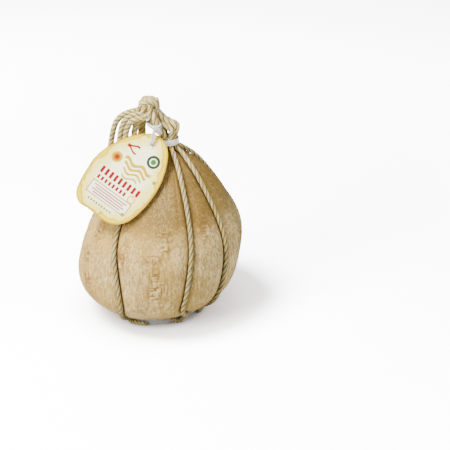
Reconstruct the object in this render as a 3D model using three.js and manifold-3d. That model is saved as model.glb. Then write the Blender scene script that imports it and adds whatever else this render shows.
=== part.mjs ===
// A whole pear-shaped provolone cheese, tied in a harness of eight ropes. The ropes start on a white
// base disc, run up the rind in grooves, pass through a neck clip and meet in a knot, whose free ends
// hang down on the left. A paper tag hangs from a loop of white string.
// Millimetres, +Z up. The origin is the centre of the base disc's flat underside, and the front is -Y.
import * as THREE from 'three';
import { mergeVertices } from 'three/addons/utils/BufferGeometryUtils.js';
import Module from 'manifold-3d';

const DEGREE = Math.PI / 180;
const TOUCH_GAP = 0.3;

// Base disc
const DISC_RADIUS = 54;
const DISC_HEIGHT = 8;
const DISC_ROUNDING = 1.2;

// Cheese: a rounded underside, a belly, and a straight taper that closes in a small tip
const BELLY_RADIUS = 95;
const BELLY_HEIGHT = 66;
const UNDERSIDE_DEPTH = 66.2;
const UNDERSIDE_POWER = 2.6;
const SHOULDER_HEIGHT = 105;
const SHOULDER_BLEND = 11;
const TAPER_PER_MM = 0.78;
const TIP_START = 165;
const TIP_TOP = 201;
const TIP_POWER = 3.2;
const CHEESE_BOTTOM = DISC_HEIGHT + TOUCH_GAP;

// The cheese leans to the right as it rises, and the lean stops below the neck
const LEAN_START = -8.4;
const LEAN_PER_MM = 0.195;
const LEAN_STOP = 135;
const LEAN_BLEND = 14;

// Lobes between the ropes
const LOBE_DEPTH_MIDDLE = 6;
const LOBE_DEPTH_END = 2.6;
const GROOVE_HALF_WIDTH = 10;
const GROOVE_FLOOR = 3.4;
const GROOVE_SHOULDER = 8;
const COLUMNS_PER_LOBE = 8;
const UNEVENNESS = 1.3;
const CHEESE_ROWS = 27;

// Harness ropes: the angle round the cheese, clockwise from the front as seen from below, at three heights
const ROPE_RADIUS = 2.55;
const ROPE_SIDES = 6;
const ROPE_STEP = 6.2;
const ROPE_LIFT = ROPE_RADIUS + 0.85;
const ROPE_FOOT = 11;
const ROPE_LOW = 41;
const ROPE_HIGH = 140;
const ROPE_BEND = 1.3;
const ROPE_TURN_IN = 184;
const RIND_STATIONS = [14, 19, 26, 34, 43, 54, 66, 80, 94, 108, 122, 136, 149, 161, 172, 181, 188, 194, 198];
const ROPE_ANGLES = [
  { foot: -25, low: -22.8, high: -46.2 },
  { foot: 38, low: 22, high: 22.5 },
  { foot: 62, low: 53, high: 55 },
  { foot: 122, low: 119, high: 120 },
  { foot: 156, low: 154, high: 153 },
  { foot: 190, low: 189, high: 187 },
  { foot: 223, low: 223, high: 221 },
  { foot: 255, low: 256, high: 258 },
];

// Each rope ends with a turn along the disc's rim: the angle that it covers and how far its end rises
const RIM_ROPE_RADIUS = DISC_RADIUS + ROPE_RADIUS + 0.5;
const RIM_ROPE_HEIGHT = ROPE_RADIUS + 0.6;
const RIM_TURNS = [
  { sweep: 20, rise: 0.4 },
  { sweep: -12, rise: 5.5 },
  { sweep: 15, rise: 0.4 },
  { sweep: -12, rise: 4.5 },
  { sweep: 17, rise: 0.4 },
  { sweep: -12, rise: 1.2 },
  { sweep: 14, rise: 0.2 },
  { sweep: -12, rise: 0.2 },
];

// Neck clip, round the eight ropes
const NECK_X = 17.9;
const SLOT_RADIUS = 7.3;
const FIRST_SLOT = -22.5;
const SLOT_STEP = 45;
const CLIP_BOTTOM = 204.5;
const CLIP_HEIGHT = 6.6;
const CLIP_INNER = SLOT_RADIUS + ROPE_RADIUS + 1.1;
const CLIP_WALL = 1;
const CLIP_ROUNDING = 0.4;

// Ropes above the clip, front half; the back half is its mirror image in Y
const RIGHT_OUTER = [
  [27.2, -3.0, 219.6], [28.0, -3.0, 223.2], [25.4, -3.0, 226.6], [20.6, -3.0, 228.9],
  [15.9, -3.0, 231.6], [11.9, -3.0, 235.0], [9.3, -3.0, 238.8],
];
const RIGHT_INNER = [
  [22.8, -7.3, 219.0], [21.4, -7.0, 222.8], [16.9, -5.8, 225.7], [11.4, -4.3, 228.2],
  [7.0, -3.1, 232.0], [4.8, -3.0, 235.4], [3.7, -3.0, 238.8],
];
const LEFT_INNER = [
  [12.9, -8.8, 219.4], [9.4, -10.5, 223.6], [6.6, -11.8, 229.0], [4.6, -11.5, 234.6], [3.0, -10.2, 239.6],
];
const LEFT_OUTER = [
  [7.4, -3.6, 219.4], [4.0, -4.2, 223.8], [1.2, -4.7, 229.0], [-0.8, -4.6, 234.4], [-2.2, -4.3, 238.8],
];
const NECK_ROUTES = [
  { points: LEFT_INNER, side: 1 },
  { points: RIGHT_INNER, side: 1 },
  { points: RIGHT_OUTER, side: 1 },
  { points: RIGHT_OUTER, side: -1 },
  { points: RIGHT_INNER, side: -1 },
  { points: LEFT_INNER, side: -1 },
  { points: LEFT_OUTER, side: -1 },
  { points: LEFT_OUTER, side: 1 },
];

// Knot
const KNOT_CENTRE = new THREE.Vector3(-2.4, 0, 249.6);
const KNOT_CORE = new THREE.Vector3(10.4, 8.0, 8.2);
const KNOT_WRAP_TUBE = 2.7;
const KNOT_WRAPS = [
  { reach: 9.0, narrow: 0.74, place: [0, 0, -2.6], tilt: [4, 6, 0] },
  { reach: 9.3, narrow: 0.76, place: [0.4, 0, 2.2], tilt: [-7, -9, 0] },
  { reach: 6.2, narrow: 0.86, place: [1.2, 0, 5.6], tilt: [8, 10, 20] },
];
const WRAP_SIDES = 7;
const WRAP_STEPS = 22;

// Free rope ends that hang from the knot
const TAIL_SIDES = 8;
const TAIL_STEP = 6.5;
const TAIL_ROUTES = [
  [[-15.4, 0.4, 242.6], [-23.2, 0.6, 240.2], [-30.3, 0.8, 237.2], [-35.6, 1.0, 232.8], [-39.6, 1.2, 227.1],
    [-41.8, 1.4, 221.0], [-43.4, 1.6, 215.0], [-44.7, 2.0, 209.0], [-45.9, 2.4, 202.8], [-48.0, 3.2, 192.0],
    [-49.6, 4.0, 183.0]],
  [[-9.8, -6.0, 240.6], [-17.2, -6.0, 239.2], [-23.8, -6.0, 236.8], [-28.2, -6.0, 233.2],
    [-31.0, -6.0, 228.4], [-32.7, -6.0, 223.5], [-34.0, -6.0, 217.8], [-35.0, -6.0, 212.0],
    [-36.4, -6.0, 203.0], [-37.8, -6.0, 194.0], [-39.0, -6.0, 185.0]],
  [[-6.6, -11.4, 237.6], [-14.2, -10.9, 236.3], [-19.6, -10.2, 233.9], [-23.0, -9.5, 230.5],
    [-25.4, -8.9, 226.3], [-27.0, -8.4, 221.9], [-28.0, -8.2, 216.8], [-28.8, -8.2, 210.0],
    [-30.0, -8.2, 201.0], [-31.2, -8.2, 190.0]],
  [[-7.9, -0.8, 239.4], [-9.4, -1.6, 234.6], [-12.8, -2.0, 231.0], [-15.8, -2.0, 228.0],
    [-17.6, -2.0, 224.2], [-18.6, -2.0, 220.6], [-19.4, -2.0, 215.4], [-20.4, -2.0, 206.0],
    [-21.2, -2.0, 196.0]],
  [[-7.8, 6.3, 239.8], [-8.0, 6.5, 234.6], [-9.4, 6.5, 229.6], [-11.1, 6.3, 225.2], [-12.1, 6.1, 220.4],
    [-12.8, 6.0, 214.0], [-13.4, 6.0, 204.0]],
  [[-4.4, 11.4, 243.6], [-7.2, 13.2, 238.4], [-8.8, 13.4, 231.6], [-9.8, 13.0, 225.6],
    [-10.4, 12.8, 219.6], [-10.8, 12.8, 208.0], [-11.0, 12.8, 200.0]],
];

// Tag: its outline in its own plane (right, up), from its middle
const TAG_THICKNESS = 1;
const TAG_OUTLINE = [
  [-19.4, -46.6], [-7.2, -46.3], [8.0, -47.0], [20.0, -46.2], [29.2, -42.2], [37.2, -33.0], [42.3, -16.0],
  [43.8, 3.0], [41.8, 22.0], [35.6, 40.0], [26.0, 55.6], [15.8, 61.9], [4.6, 62.2], [-6.9, 55.9],
  [-17.3, 45.1], [-26.3, 30.7], [-32.4, 16.0], [-35.1, 1.0], [-34.4, -12.0], [-32.8, -26.0], [-28.6, -39.4],
];
const TAG_OUTLINE_STEPS = 56;
const TAG_HOLE = new THREE.Vector2(7.3, 50.9);
const TAG_HOLE_RADIUS = 2.6;
const TAG_HOLE_SIDES = 14;
const TAG_HOLE_PLACE = new THREE.Vector3(0.8, -19.4, 210.0);
const TAG_LEAN = 55;
const TAG_YAW = -6;
const TAG_ROLL = -33;

// String: a loop round the two front left ropes, a knot, two legs, and a stop knot on each side of the tag's hole
const STRING_RADIUS = 0.9;
const STRING_LEG_RADIUS = 1.05;
const STRING_SIDES = 6;
const STRING_STEP = 2.6;
const STRING_KNOTS = [
  { place: [4.2, -16.4, 228.6], size: 2.1 },
  { place: [0.7, -20.7, 210.9], size: 2.1 },
  { place: [0.9, -18.1, 209.1], size: 2.1 },
];
const STRING_LOOP = [
  [4.2, -16.4, 228.6], [0.2, -14.4, 229.8], [-3.2, -10.6, 231.0], [-4.4, -6.0, 231.0], [-2.6, -1.6, 230.2],
  [1.2, -0.1, 229.6], [4.8, -1.9, 229.3], [5.2, -6.1, 229.7], [8.0, -7.9, 230.4], [10.6, -11.4, 230.2],
  [8.6, -15.4, 229.2], [4.2, -16.4, 228.6],
];
const STRING_LEGS = [
  [[3.7, -16.6, 228.0], [2.5, -18.4, 222.0], [1.1, -20.6, 216.0], [-0.1, -21.7, 212.6], [0.2, -20.9, 210.9]],
  [[4.7, -16.8, 228.0], [4.5, -18.0, 222.0], [3.2, -20.2, 216.0], [1.9, -21.5, 212.4], [1.4, -20.8, 210.9]],
];

const wasm = await Module();
wasm.setup();

// A ramp that starts softly: nought well below zero and equal to x well above it.
function softRamp(x, blend) {
  return blend * Math.log(1 + Math.exp(x / blend));
}

function leanX(height) {
  return LEAN_START + LEAN_PER_MM * (height - softRamp(height - LEAN_STOP, LEAN_BLEND));
}

// The radius over the lobes' crests.
function crestRadius(height) {
  const tapered = BELLY_RADIUS - TAPER_PER_MM * softRamp(height - SHOULDER_HEIGHT, SHOULDER_BLEND);
  const below = Math.max(0, BELLY_HEIGHT - height) / UNDERSIDE_DEPTH;
  const above = Math.max(0, height - TIP_START) / (TIP_TOP - TIP_START);
  const underside = Math.sqrt(Math.max(0, 1 - below ** UNDERSIDE_POWER));
  const tip = Math.sqrt(Math.max(0, 1 - above ** TIP_POWER));
  return tapered * underside * tip;
}

function lobeDepth(height) {
  const along = THREE.MathUtils.clamp((height - CHEESE_BOTTOM) / (TIP_TOP - CHEESE_BOTTOM), 0, 1);
  const swell = LOBE_DEPTH_END + (LOBE_DEPTH_MIDDLE - LOBE_DEPTH_END) * Math.sin(Math.PI * along) ** 0.7;
  return Math.min(swell, crestRadius(height) * 0.3);
}

function unevenness(angle, height) {
  const broad = Math.sin(2 * angle + height * 0.021) + 0.7 * Math.sin(3 * angle - height * 0.034 + 1.3);
  return UNEVENNESS * broad * crestRadius(height) / BELLY_RADIUS;
}

function slotAngle(rope) {
  return (FIRST_SLOT + SLOT_STEP * rope) * DEGREE;
}

// Where a rope lies round the cheese at a height.
function ropeAngle(rope, height) {
  const { foot, low, high } = ROPE_ANGLES[rope];
  const fromFoot = THREE.MathUtils.smoothstep(height, ROPE_FOOT, ROPE_LOW);
  const fromLow = THREE.MathUtils.clamp((height - ROPE_LOW) / (ROPE_HIGH - ROPE_LOW), 0, 1);
  const onCheese = foot + (low - foot) * fromFoot + (high - low) * fromLow ** ROPE_BEND;
  const turnIn = THREE.MathUtils.smoothstep(height, ROPE_TURN_IN, CLIP_BOTTOM);
  return THREE.MathUtils.lerp(onCheese * DEGREE, slotAngle(rope), turnIn);
}

// The rind's radius at a distance along the rind from the nearest rope.
function rindRadius(angle, height, fromRope) {
  const groove = Math.exp(-((fromRope / GROOVE_HALF_WIDTH) ** 2));
  return Math.max(0, crestRadius(height) + unevenness(angle, height) - lobeDepth(height) * groove);
}

function polarPoint(centreX, radius, angle, height) {
  return new THREE.Vector3(centreX + radius * Math.sin(angle), -radius * Math.cos(angle), height);
}

// The shares of one lobe's width at which its columns of points stand, close together at the ropes.
function columnShares(width) {
  const floor = Math.min(GROOVE_FLOOR / width, 0.13);
  const shoulder = Math.min(GROOVE_SHOULDER / width, 0.28);
  const flank = (shoulder + 0.5) / 2;
  return [0, floor, shoulder, flank, 0.5, 1 - flank, 1 - shoulder, 1 - floor];
}

function cheeseRowHeights() {
  const heights = [CHEESE_BOTTOM];
  for (let row = 0; row < CHEESE_ROWS; row += 1) {
    const share = (1 - Math.cos((Math.PI * (row + 0.35)) / CHEESE_ROWS)) / 2;
    heights.push(CHEESE_BOTTOM + (TIP_TOP - CHEESE_BOTTOM) * share);
  }
  return heights;
}

function cheesePoint(column, height) {
  const rope = Math.floor(column / COLUMNS_PER_LOBE) % ROPE_ANGLES.length;
  const next = (rope + 1) % ROPE_ANGLES.length;
  const start = ropeAngle(rope, height);
  let end = ropeAngle(next, height);
  while (end < start) {
    end += 2 * Math.PI;
  }
  const width = Math.max(crestRadius(height), 1) * (end - start);
  const share = columnShares(width)[column % COLUMNS_PER_LOBE];
  const angle = start + (end - start) * share;
  const radius = rindRadius(angle, height, Math.min(share, 1 - share) * width);
  return polarPoint(leanX(height), radius, angle, height);
}

function cheeseGeometry() {
  const heights = cheeseRowHeights();
  const profile = heights.map((height) => new THREE.Vector2(1, height));
  profile.unshift(new THREE.Vector2(0, CHEESE_BOTTOM));
  profile.push(new THREE.Vector2(0, TIP_TOP));
  const columns = COLUMNS_PER_LOBE * ROPE_ANGLES.length;
  const geometry = new THREE.LatheGeometry(profile, columns);
  const position = geometry.attributes.position;
  const middles = [leanX(CHEESE_BOTTOM), leanX(TIP_TOP)];
  for (let index = 0; index < position.count; index += 1) {
    const column = Math.floor(index / profile.length) % columns;
    const row = index % profile.length;
    const height = profile[row].y;
    const onAxis = row === 0 || row === profile.length - 1;
    const axisPoint = new THREE.Vector3(middles[row === 0 ? 0 : 1], 0, height);
    const point = onAxis ? axisPoint : cheesePoint(column, height);
    position.setXYZ(index, point.x, point.y, point.z);
  }
  return geometry;
}

function regularSection(radius, sides) {
  const corners = [];
  for (let side = 0; side < sides; side += 1) {
    const angle = (2 * Math.PI * side) / sides;
    corners.push(new THREE.Vector2(radius * Math.cos(angle), radius * Math.sin(angle)));
  }
  return new THREE.Shape(corners);
}

function tube(points, radius, sides, step) {
  const path = new THREE.CatmullRomCurve3(points, false, 'centripetal');
  const steps = Math.ceil(path.getLength() / step);
  return new THREE.ExtrudeGeometry(regularSection(radius, sides), { steps, extrudePath: path, bevelEnabled: false });
}

function toVectors(rows, side = 1) {
  return rows.map(([x, y, z]) => new THREE.Vector3(x, y * side, z));
}

// The middle of a rope where it lies on the rind, lifted off the groove's floor along the rind's normal.
function ropeOnRind(rope, height) {
  const angle = ropeAngle(rope, height);
  const radius = rindRadius(angle, height, 0);
  const rise = 1;
  const slope = (rindRadius(angle, height + rise, 0) - rindRadius(angle, height - rise, 0)) / (2 * rise);
  const length = Math.hypot(1, slope);
  return polarPoint(leanX(height), radius + ROPE_LIFT / length, angle, height - (ROPE_LIFT * slope) / length);
}

// The lowest point at which a rope still lies on the rind and is clear of the disc.
function leavingHeight(rope) {
  let height = ROPE_FOOT;
  let point = ropeOnRind(rope, height);
  while (Math.hypot(point.x, point.y) < RIM_ROPE_RADIUS + 0.8) {
    height += 1;
    point = ropeOnRind(rope, height);
  }
  return height;
}

// A rope's end on the rim, from its free end inwards.
function rimTurn(rope) {
  const landing = ropeOnRind(rope, leavingHeight(rope));
  const start = Math.atan2(landing.x, -landing.y);
  const { sweep, rise } = RIM_TURNS[rope];
  const shares = [1, 0.72, 0.42, 0.14];
  return shares.map((share) => {
    const angle = start + sweep * share * DEGREE;
    const height = RIM_ROPE_HEIGHT + rise * share ** 3;
    return polarPoint(0, RIM_ROPE_RADIUS, angle, height);
  });
}

function harnessRope(rope) {
  const points = rimTurn(rope);
  const lowest = leavingHeight(rope);
  const heights = [lowest, ...RIND_STATIONS.filter((height) => height > lowest + 2)];
  heights.forEach((height) => points.push(ropeOnRind(rope, height)));
  points.push(polarPoint(NECK_X, SLOT_RADIUS + 2.6, slotAngle(rope), CLIP_BOTTOM - 4));
  for (const share of [0, 0.5, 1]) {
    points.push(polarPoint(NECK_X, SLOT_RADIUS, slotAngle(rope), CLIP_BOTTOM + CLIP_HEIGHT * share));
  }
  const { points: neck, side } = NECK_ROUTES[rope];
  return tube([...points, ...toVectors(neck, side)], ROPE_RADIUS, ROPE_SIDES, ROPE_STEP);
}

function turned(profile, segments) {
  const geometry = new THREE.LatheGeometry(profile.map(([x, y]) => new THREE.Vector2(x, y)), segments);
  return geometry.rotateX(Math.PI / 2);
}

function baseDisc() {
  const edge = DISC_RADIUS - DISC_ROUNDING;
  const profile = [[0, 0], [edge, 0], [DISC_RADIUS, DISC_ROUNDING], [DISC_RADIUS, DISC_HEIGHT - DISC_ROUNDING],
    [edge, DISC_HEIGHT], [0, DISC_HEIGHT]];
  return turned(profile, 48);
}

function neckClip() {
  const outer = CLIP_INNER + CLIP_WALL;
  const profile = [[CLIP_INNER, 0], [outer - CLIP_ROUNDING, 0], [outer, CLIP_ROUNDING],
    [outer, CLIP_HEIGHT - CLIP_ROUNDING], [outer - CLIP_ROUNDING, CLIP_HEIGHT], [CLIP_INNER, CLIP_HEIGHT],
    [CLIP_INNER, 0]];
  return turned(profile, 28);
}

function withoutNormals(geometry) {
  const bare = geometry.clone();
  bare.deleteAttribute('normal');
  bare.deleteAttribute('uv');
  return mergeVertices(bare, 1e-4);
}

function toSolid(geometry) {
  const merged = withoutNormals(geometry);
  const vertProperties = new Float32Array(merged.attributes.position.array);
  const triVerts = new Uint32Array(merged.index.array);
  return new wasm.Manifold(new wasm.Mesh({ numProp: 3, vertProperties, triVerts }));
}

function fused(geometries) {
  const whole = geometries.map(toSolid).reduce((sum, next) => sum.add(next));
  const mesh = whole.getMesh();
  const geometry = new THREE.BufferGeometry();
  geometry.setAttribute('position', new THREE.BufferAttribute(mesh.vertProperties, 3));
  geometry.setIndex(new THREE.BufferAttribute(mesh.triVerts, 1));
  geometry.computeVertexNormals();
  return geometry;
}

function knotWrap({ reach, narrow, place, tilt }) {
  const wrap = new THREE.TorusGeometry(reach, KNOT_WRAP_TUBE, WRAP_SIDES, WRAP_STEPS);
  wrap.scale(1, narrow, 1);
  const turn = new THREE.Euler(tilt[0] * DEGREE, tilt[1] * DEGREE, tilt[2] * DEGREE);
  wrap.applyQuaternion(new THREE.Quaternion().setFromEuler(turn));
  return wrap.translate(...place);
}

function knotGeometry() {
  const core = new THREE.SphereGeometry(1, 16, 10).scale(KNOT_CORE.x, KNOT_CORE.y, KNOT_CORE.z);
  return fused([core, ...KNOT_WRAPS.map(knotWrap)]);
}

function tagShape() {
  const outline = TAG_OUTLINE.map(([x, y]) => new THREE.Vector3(x, y, 0));
  const curve = new THREE.CatmullRomCurve3(outline, true, 'centripetal');
  const corners = curve.getSpacedPoints(TAG_OUTLINE_STEPS).slice(0, TAG_OUTLINE_STEPS);
  const shape = new THREE.Shape(corners.map((corner) => new THREE.Vector2(corner.x, corner.y)));
  const hole = new THREE.Path();
  const rim = regularSection(TAG_HOLE_RADIUS, TAG_HOLE_SIDES).getPoints();
  hole.setFromPoints(rim.map((corner) => corner.add(TAG_HOLE)));
  shape.holes.push(hole);
  return shape;
}

function tagGeometry() {
  const options = { depth: TAG_THICKNESS, bevelEnabled: false, curveSegments: 12 };
  const geometry = new THREE.ExtrudeGeometry(tagShape(), options);
  return geometry.translate(-TAG_HOLE.x, -TAG_HOLE.y, -TAG_THICKNESS / 2);
}

function stringGeometry() {
  const knots = STRING_KNOTS.map(({ place, size }) => new THREE.SphereGeometry(size, 10, 7).translate(...place));
  const loop = tube(toVectors(STRING_LOOP), STRING_RADIUS, STRING_SIDES, STRING_STEP);
  const legs = STRING_LEGS.map((leg) => tube(toVectors(leg), STRING_LEG_RADIUS, STRING_SIDES, STRING_STEP));
  return fused([...knots, loop, ...legs]);
}

function finish(color, roughness) {
  return new THREE.MeshStandardMaterial({ color, roughness, metalness: 0 });
}

function piece(name, geometry, material, position = [0, 0, 0]) {
  const mesh = new THREE.Mesh(geometry, material);
  mesh.name = name;
  mesh.position.set(...position);
  return mesh;
}

function tagOnItsString(material) {
  const tag = piece('tag', tagGeometry(), material);
  tag.rotation.z = TAG_ROLL * DEGREE;
  const leaning = new THREE.Group();
  leaning.rotation.x = TAG_LEAN * DEGREE;
  leaning.add(tag);
  const placed = new THREE.Group();
  placed.rotation.z = TAG_YAW * DEGREE;
  placed.position.copy(TAG_HOLE_PLACE);
  placed.add(leaning);
  return placed;
}

const provolone = new THREE.Group();
const rind = finish(0xd6bf9f, 0.75);
const rope = finish(0xcdbf9a, 0.9);
const whitePlastic = finish(0xd8d6d2, 0.5);
const card = finish(0xf2ecc9, 0.6);
const twine = finish(0xe8e8e4, 0.85);

provolone.add(piece('base_disc', baseDisc(), whitePlastic));
provolone.add(piece('cheese', cheeseGeometry(), rind));
ROPE_ANGLES.forEach((angles, index) => {
  provolone.add(piece(`harness_rope_${index + 1}`, harnessRope(index), rope));
});
provolone.add(piece('neck_clip', neckClip(), whitePlastic, [NECK_X, 0, CLIP_BOTTOM]));
provolone.add(piece('knot', knotGeometry(), rope, KNOT_CENTRE.toArray()));
TAIL_ROUTES.forEach((route, index) => {
  const geometry = tube(toVectors(route), ROPE_RADIUS, TAIL_SIDES, TAIL_STEP);
  provolone.add(piece(`rope_tail_${index + 1}`, geometry, rope));
});
provolone.add(tagOnItsString(card));
provolone.add(piece('tag_string', stringGeometry(), twine));

export default provolone;
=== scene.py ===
"""Dresses a rope-tied provolone cheese: rind, twisted ropes, knot, clip, disc, tag and string.

Sizes are millimetres in the numbers below and metres in the scene. +Z is up and the front is -Y.
"""

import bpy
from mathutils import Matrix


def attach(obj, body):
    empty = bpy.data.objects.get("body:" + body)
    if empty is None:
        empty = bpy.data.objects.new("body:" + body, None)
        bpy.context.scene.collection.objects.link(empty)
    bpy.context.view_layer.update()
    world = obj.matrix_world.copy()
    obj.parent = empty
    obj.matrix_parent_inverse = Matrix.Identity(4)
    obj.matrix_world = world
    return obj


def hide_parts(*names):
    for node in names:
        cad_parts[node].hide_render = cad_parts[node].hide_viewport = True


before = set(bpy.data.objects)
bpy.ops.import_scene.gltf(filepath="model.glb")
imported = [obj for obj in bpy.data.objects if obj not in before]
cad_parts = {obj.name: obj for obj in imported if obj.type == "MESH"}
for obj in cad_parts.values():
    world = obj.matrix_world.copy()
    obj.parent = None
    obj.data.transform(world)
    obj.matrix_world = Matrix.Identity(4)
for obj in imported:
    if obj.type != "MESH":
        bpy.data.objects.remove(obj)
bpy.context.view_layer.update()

import math
import random

import bpy
import numpy as np
from bpy.props import FloatProperty, FloatVectorProperty, IntProperty, PointerProperty
from mathutils import Euler, Matrix, Vector, noise
from mathutils.geometry import delaunay_2d_cdt

bl_info = {
    "name": "Provolone Cheese",
    "version": (1, 0, 0),
    "blender": (4, 5, 0),
    "location": "View3D > Sidebar > Provolone",
    "description": "Adds a whole provolone cheese with its rope harness, tag and string",
    "category": "Add Mesh",
}

MM = 0.001

# Cheese
BELLY_RADIUS = 95
BELLY_HEIGHT = 66
UNDERSIDE_DEPTH = 66.2
UNDERSIDE_POWER = 2.6
SHOULDER_HEIGHT = 105
SHOULDER_BLEND = 11
TAPER_PER_MM = 0.78
TIP_START = 165
TIP_TOP = 201
TIP_POWER = 3.2
CHEESE_BOTTOM = 8.3
LEAN_START = -8.4
LEAN_PER_MM = 0.195
LEAN_STOP = 135
LEAN_BLEND = 14
LOBE_DEPTH_MIDDLE = 6
LOBE_DEPTH_END = 2.6
GROOVE_HALF_WIDTH = 10
UNEVENNESS = 1.3

# Rind: its grid, its grooves, and its relief
RIND_COLUMNS_PER_LOBE = 64
RIND_ROWS = 330
RIND_OVER_GROOVE = 0.95
RIND_INSET = 0.3
BANK_HALF_WIDTH = 4.3
FLAT_SIDE = {"turn": 285, "wide": 32, "deep": 0.8}
GROOVE_DARK_WIDTH = 4.9
GROOVE_SHADE_WIDTH = 12
GROOVE_SHADE = 0.36
PLEAT_DEPTH = 1.1
PLEATS_ROUND = 22
PLEATS_START = 120
PLEATS_FULL = 178
DENT_DEPTH = 0.9
GRAIN_DEPTH = 0.14

# Patches where flecks gather: turn in degrees, height, half width in degrees, half height
FLECK_PATCHES = [
    (-60, 115, 6, 9), (-62, 88, 5, 12), (-56, 60, 6, 13), (-29, 101, 4, 17), (0, 129, 10, 5), (3, 116, 5, 12),
    (-5, 103, 9, 6), (-2, 86, 5, 10), (1, 68, 8, 14), (36, 132, 7, 17), (80, 90, 8, 26), (96, 60, 6, 18),
    (138, 86, 8, 28), (171, 104, 8, 22), (206, 70, 8, 28), (240, 104, 9, 22),
]

# Ropes
ROPES = 8
ROPE_RADIUS = 2.55
LOOSE_SWELL = 0.3
LOOSE_HEIGHT = 222
TAIL_RADIUS = 3.35
ROPE_LIFT = ROPE_RADIUS + 0.85
ROPE_FOOT = 11
ROPE_LOW = 41
ROPE_HIGH = 140
ROPE_BEND = 1.3
ROPE_TURN_IN = 184
RIND_STATIONS = [14, 19, 26, 34, 43, 54, 66, 80, 94, 108, 122, 136, 149, 161, 172, 181, 188, 194, 198]
UNDER_CLIP_OUT = 2.6
UNDER_CLIP_DROP = 4
INTO_KNOT = 0.55
HARNESS_STEP = 1.3
HARNESS_TURN_APART = 0.21
ROPE_ANGLES = [
    (-25, -22.8, -46.2), (38, 22, 22.5), (62, 53, 55), (122, 119, 120),
    (156, 154, 153), (190, 189, 187), (223, 223, 221), (255, 256, 258),
]

# Base disc, and the rope ends along its rim
DISC_RADIUS = 54
DISC_HEIGHT = 8
DISC_SIDES = 160
DISC_ROUNDING = 0.5
RIM_ROPE_RADIUS = DISC_RADIUS + ROPE_RADIUS + 0.5
RIM_ROPE_HEIGHT = ROPE_RADIUS + 0.6
RIM_TURNS = [(20, 0.4), (-12, 5.5), (15, 0.4), (-12, 4.5), (17, 0.4), (-12, 1.2), (14, 0.2), (-12, 0.2)]
RIM_TURN_SHARES = (1, 0.72, 0.42, 0.14)
RIM_LAY = 13
RIM_LAY_END = (18, 30)
BRISTLES_PER_END = 26

# Neck clip
NECK_X = 17.9
SLOT_RADIUS = 7.3
FIRST_SLOT = -22.5
SLOT_STEP = 45
CLIP_BOTTOM = 204.5
CLIP_HEIGHT = 6.6
CLIP_INNER = 10.95
CLIP_WALL = 1
CLIP_BULGE = 0.15
CLIP_ROUNDING = 0.35
CLIP_SIDES = 96
CLIP_WAVE = 0.18

# Ropes above the clip, front half
RIGHT_OUTER = [
    (27.2, -3, 219.6), (28, -3, 223.2), (25.4, -3, 226.6), (20.6, -3, 228.9), (15.9, -3, 231.6),
    (11.9, -3, 235), (9.3, -3, 238.8),
]
RIGHT_INNER = [
    (22.8, -7.3, 219), (21.4, -7, 222.8), (16.9, -5.8, 225.7), (11.4, -4.3, 228.2), (7, -3.1, 232),
    (4.8, -3, 235.4), (3.7, -3, 238.8),
]
LEFT_INNER = [
    (12.9, -8.8, 219.4), (9.4, -10.5, 223.6), (6.6, -11.8, 229), (4.6, -11.5, 234.6), (3, -10.2, 239.6),
]
LEFT_OUTER = [
    (7.4, -3.6, 219.4), (4, -4.2, 223.8), (1.2, -4.7, 229), (-0.8, -4.6, 234.4), (-2.2, -4.3, 238.8),
]
NECK_ROUTES = [
    (LEFT_INNER, 1), (RIGHT_INNER, 1), (RIGHT_OUTER, 1), (RIGHT_OUTER, -1),
    (RIGHT_INNER, -1), (LEFT_INNER, -1), (LEFT_OUTER, -1), (LEFT_OUTER, 1),
]

# Knot
KNOT_CENTRE = (-2.4, 0, 249.6)
KNOT_CORE = (9.0, 6.6, 6.8)
KNOT_LAY = 19
KNOT_WRAP_RADIUS = 2.45
KNOT_ARCH_RADIUS = 2.4
KNOT_BRIDGE_RADIUS = 2.3
KNOT_BRIDGE_LAY = 21
KNOT_STUB_LAY = 22
KNOT_STUB_RADIUS = 0.9 * TAIL_RADIUS
KNOT_STEP = 1.0
KNOT_WRAP_POINTS = 64
KNOT_WRAP_WAVE = 0.06
KNOT_WRAPS = [
    {"reach": 8.9, "narrow": 0.78, "place": (0.2, 0.0, -3.6), "tilt": (5, 7, 0)},
    {"reach": 9.6, "narrow": 0.76, "place": (0.2, 0.0, 0.2), "tilt": (-4, -5, 0)},
    {"reach": 8.9, "narrow": 0.78, "place": (0.4, 0.0, 3.3), "tilt": (-6, -7, 0)},
    {"reach": 6.0, "narrow": 0.84, "place": (0.4, 0.0, 5.4), "tilt": (6, 5, 20)},
    {"reach": 2.8, "narrow": 0.9, "place": (0.2, 0.0, 6.3), "tilt": (4, 4, 0)},
]
KNOT_ARCHES = [
    [(-9.6, -3.4, -7.2), (-10.4, -6.0, -3.0), (-8.4, -8.0, 1.6), (-3.6, -8.8, 4.6), (2.6, -8.4, 5.0),
     (7.6, -6.8, 2.2), (10.0, -5.0, -2.4), (9.8, -3.6, -7.4)],
    [(-7.8, 3.2, -6.6), (-9.8, 5.4, -2.4), (-6.6, 7.6, 2.6), (-1.0, 8.0, 4.4), (4.6, 7.4, 3.2),
     (8.8, 5.6, -0.8), (9.8, 3.6, -5.4), (9.4, 3.0, -8.2)],
]
KNOT_BRIDGES = [
    [(-6.4, -10.6, -13.6), (-6.6, -10.8, -9.6), (-6.4, -10.4, -4.6), (-4.6, -9.6, -0.6), (-2.8, -7.4, 2.2)],
    [(0.4, -10.9, -14.2), (0.9, -11.2, -9.6), (1.6, -10.6, -4.8), (1.8, -9.4, -0.8), (1.0, -7.2, 2.2)],
]

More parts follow.
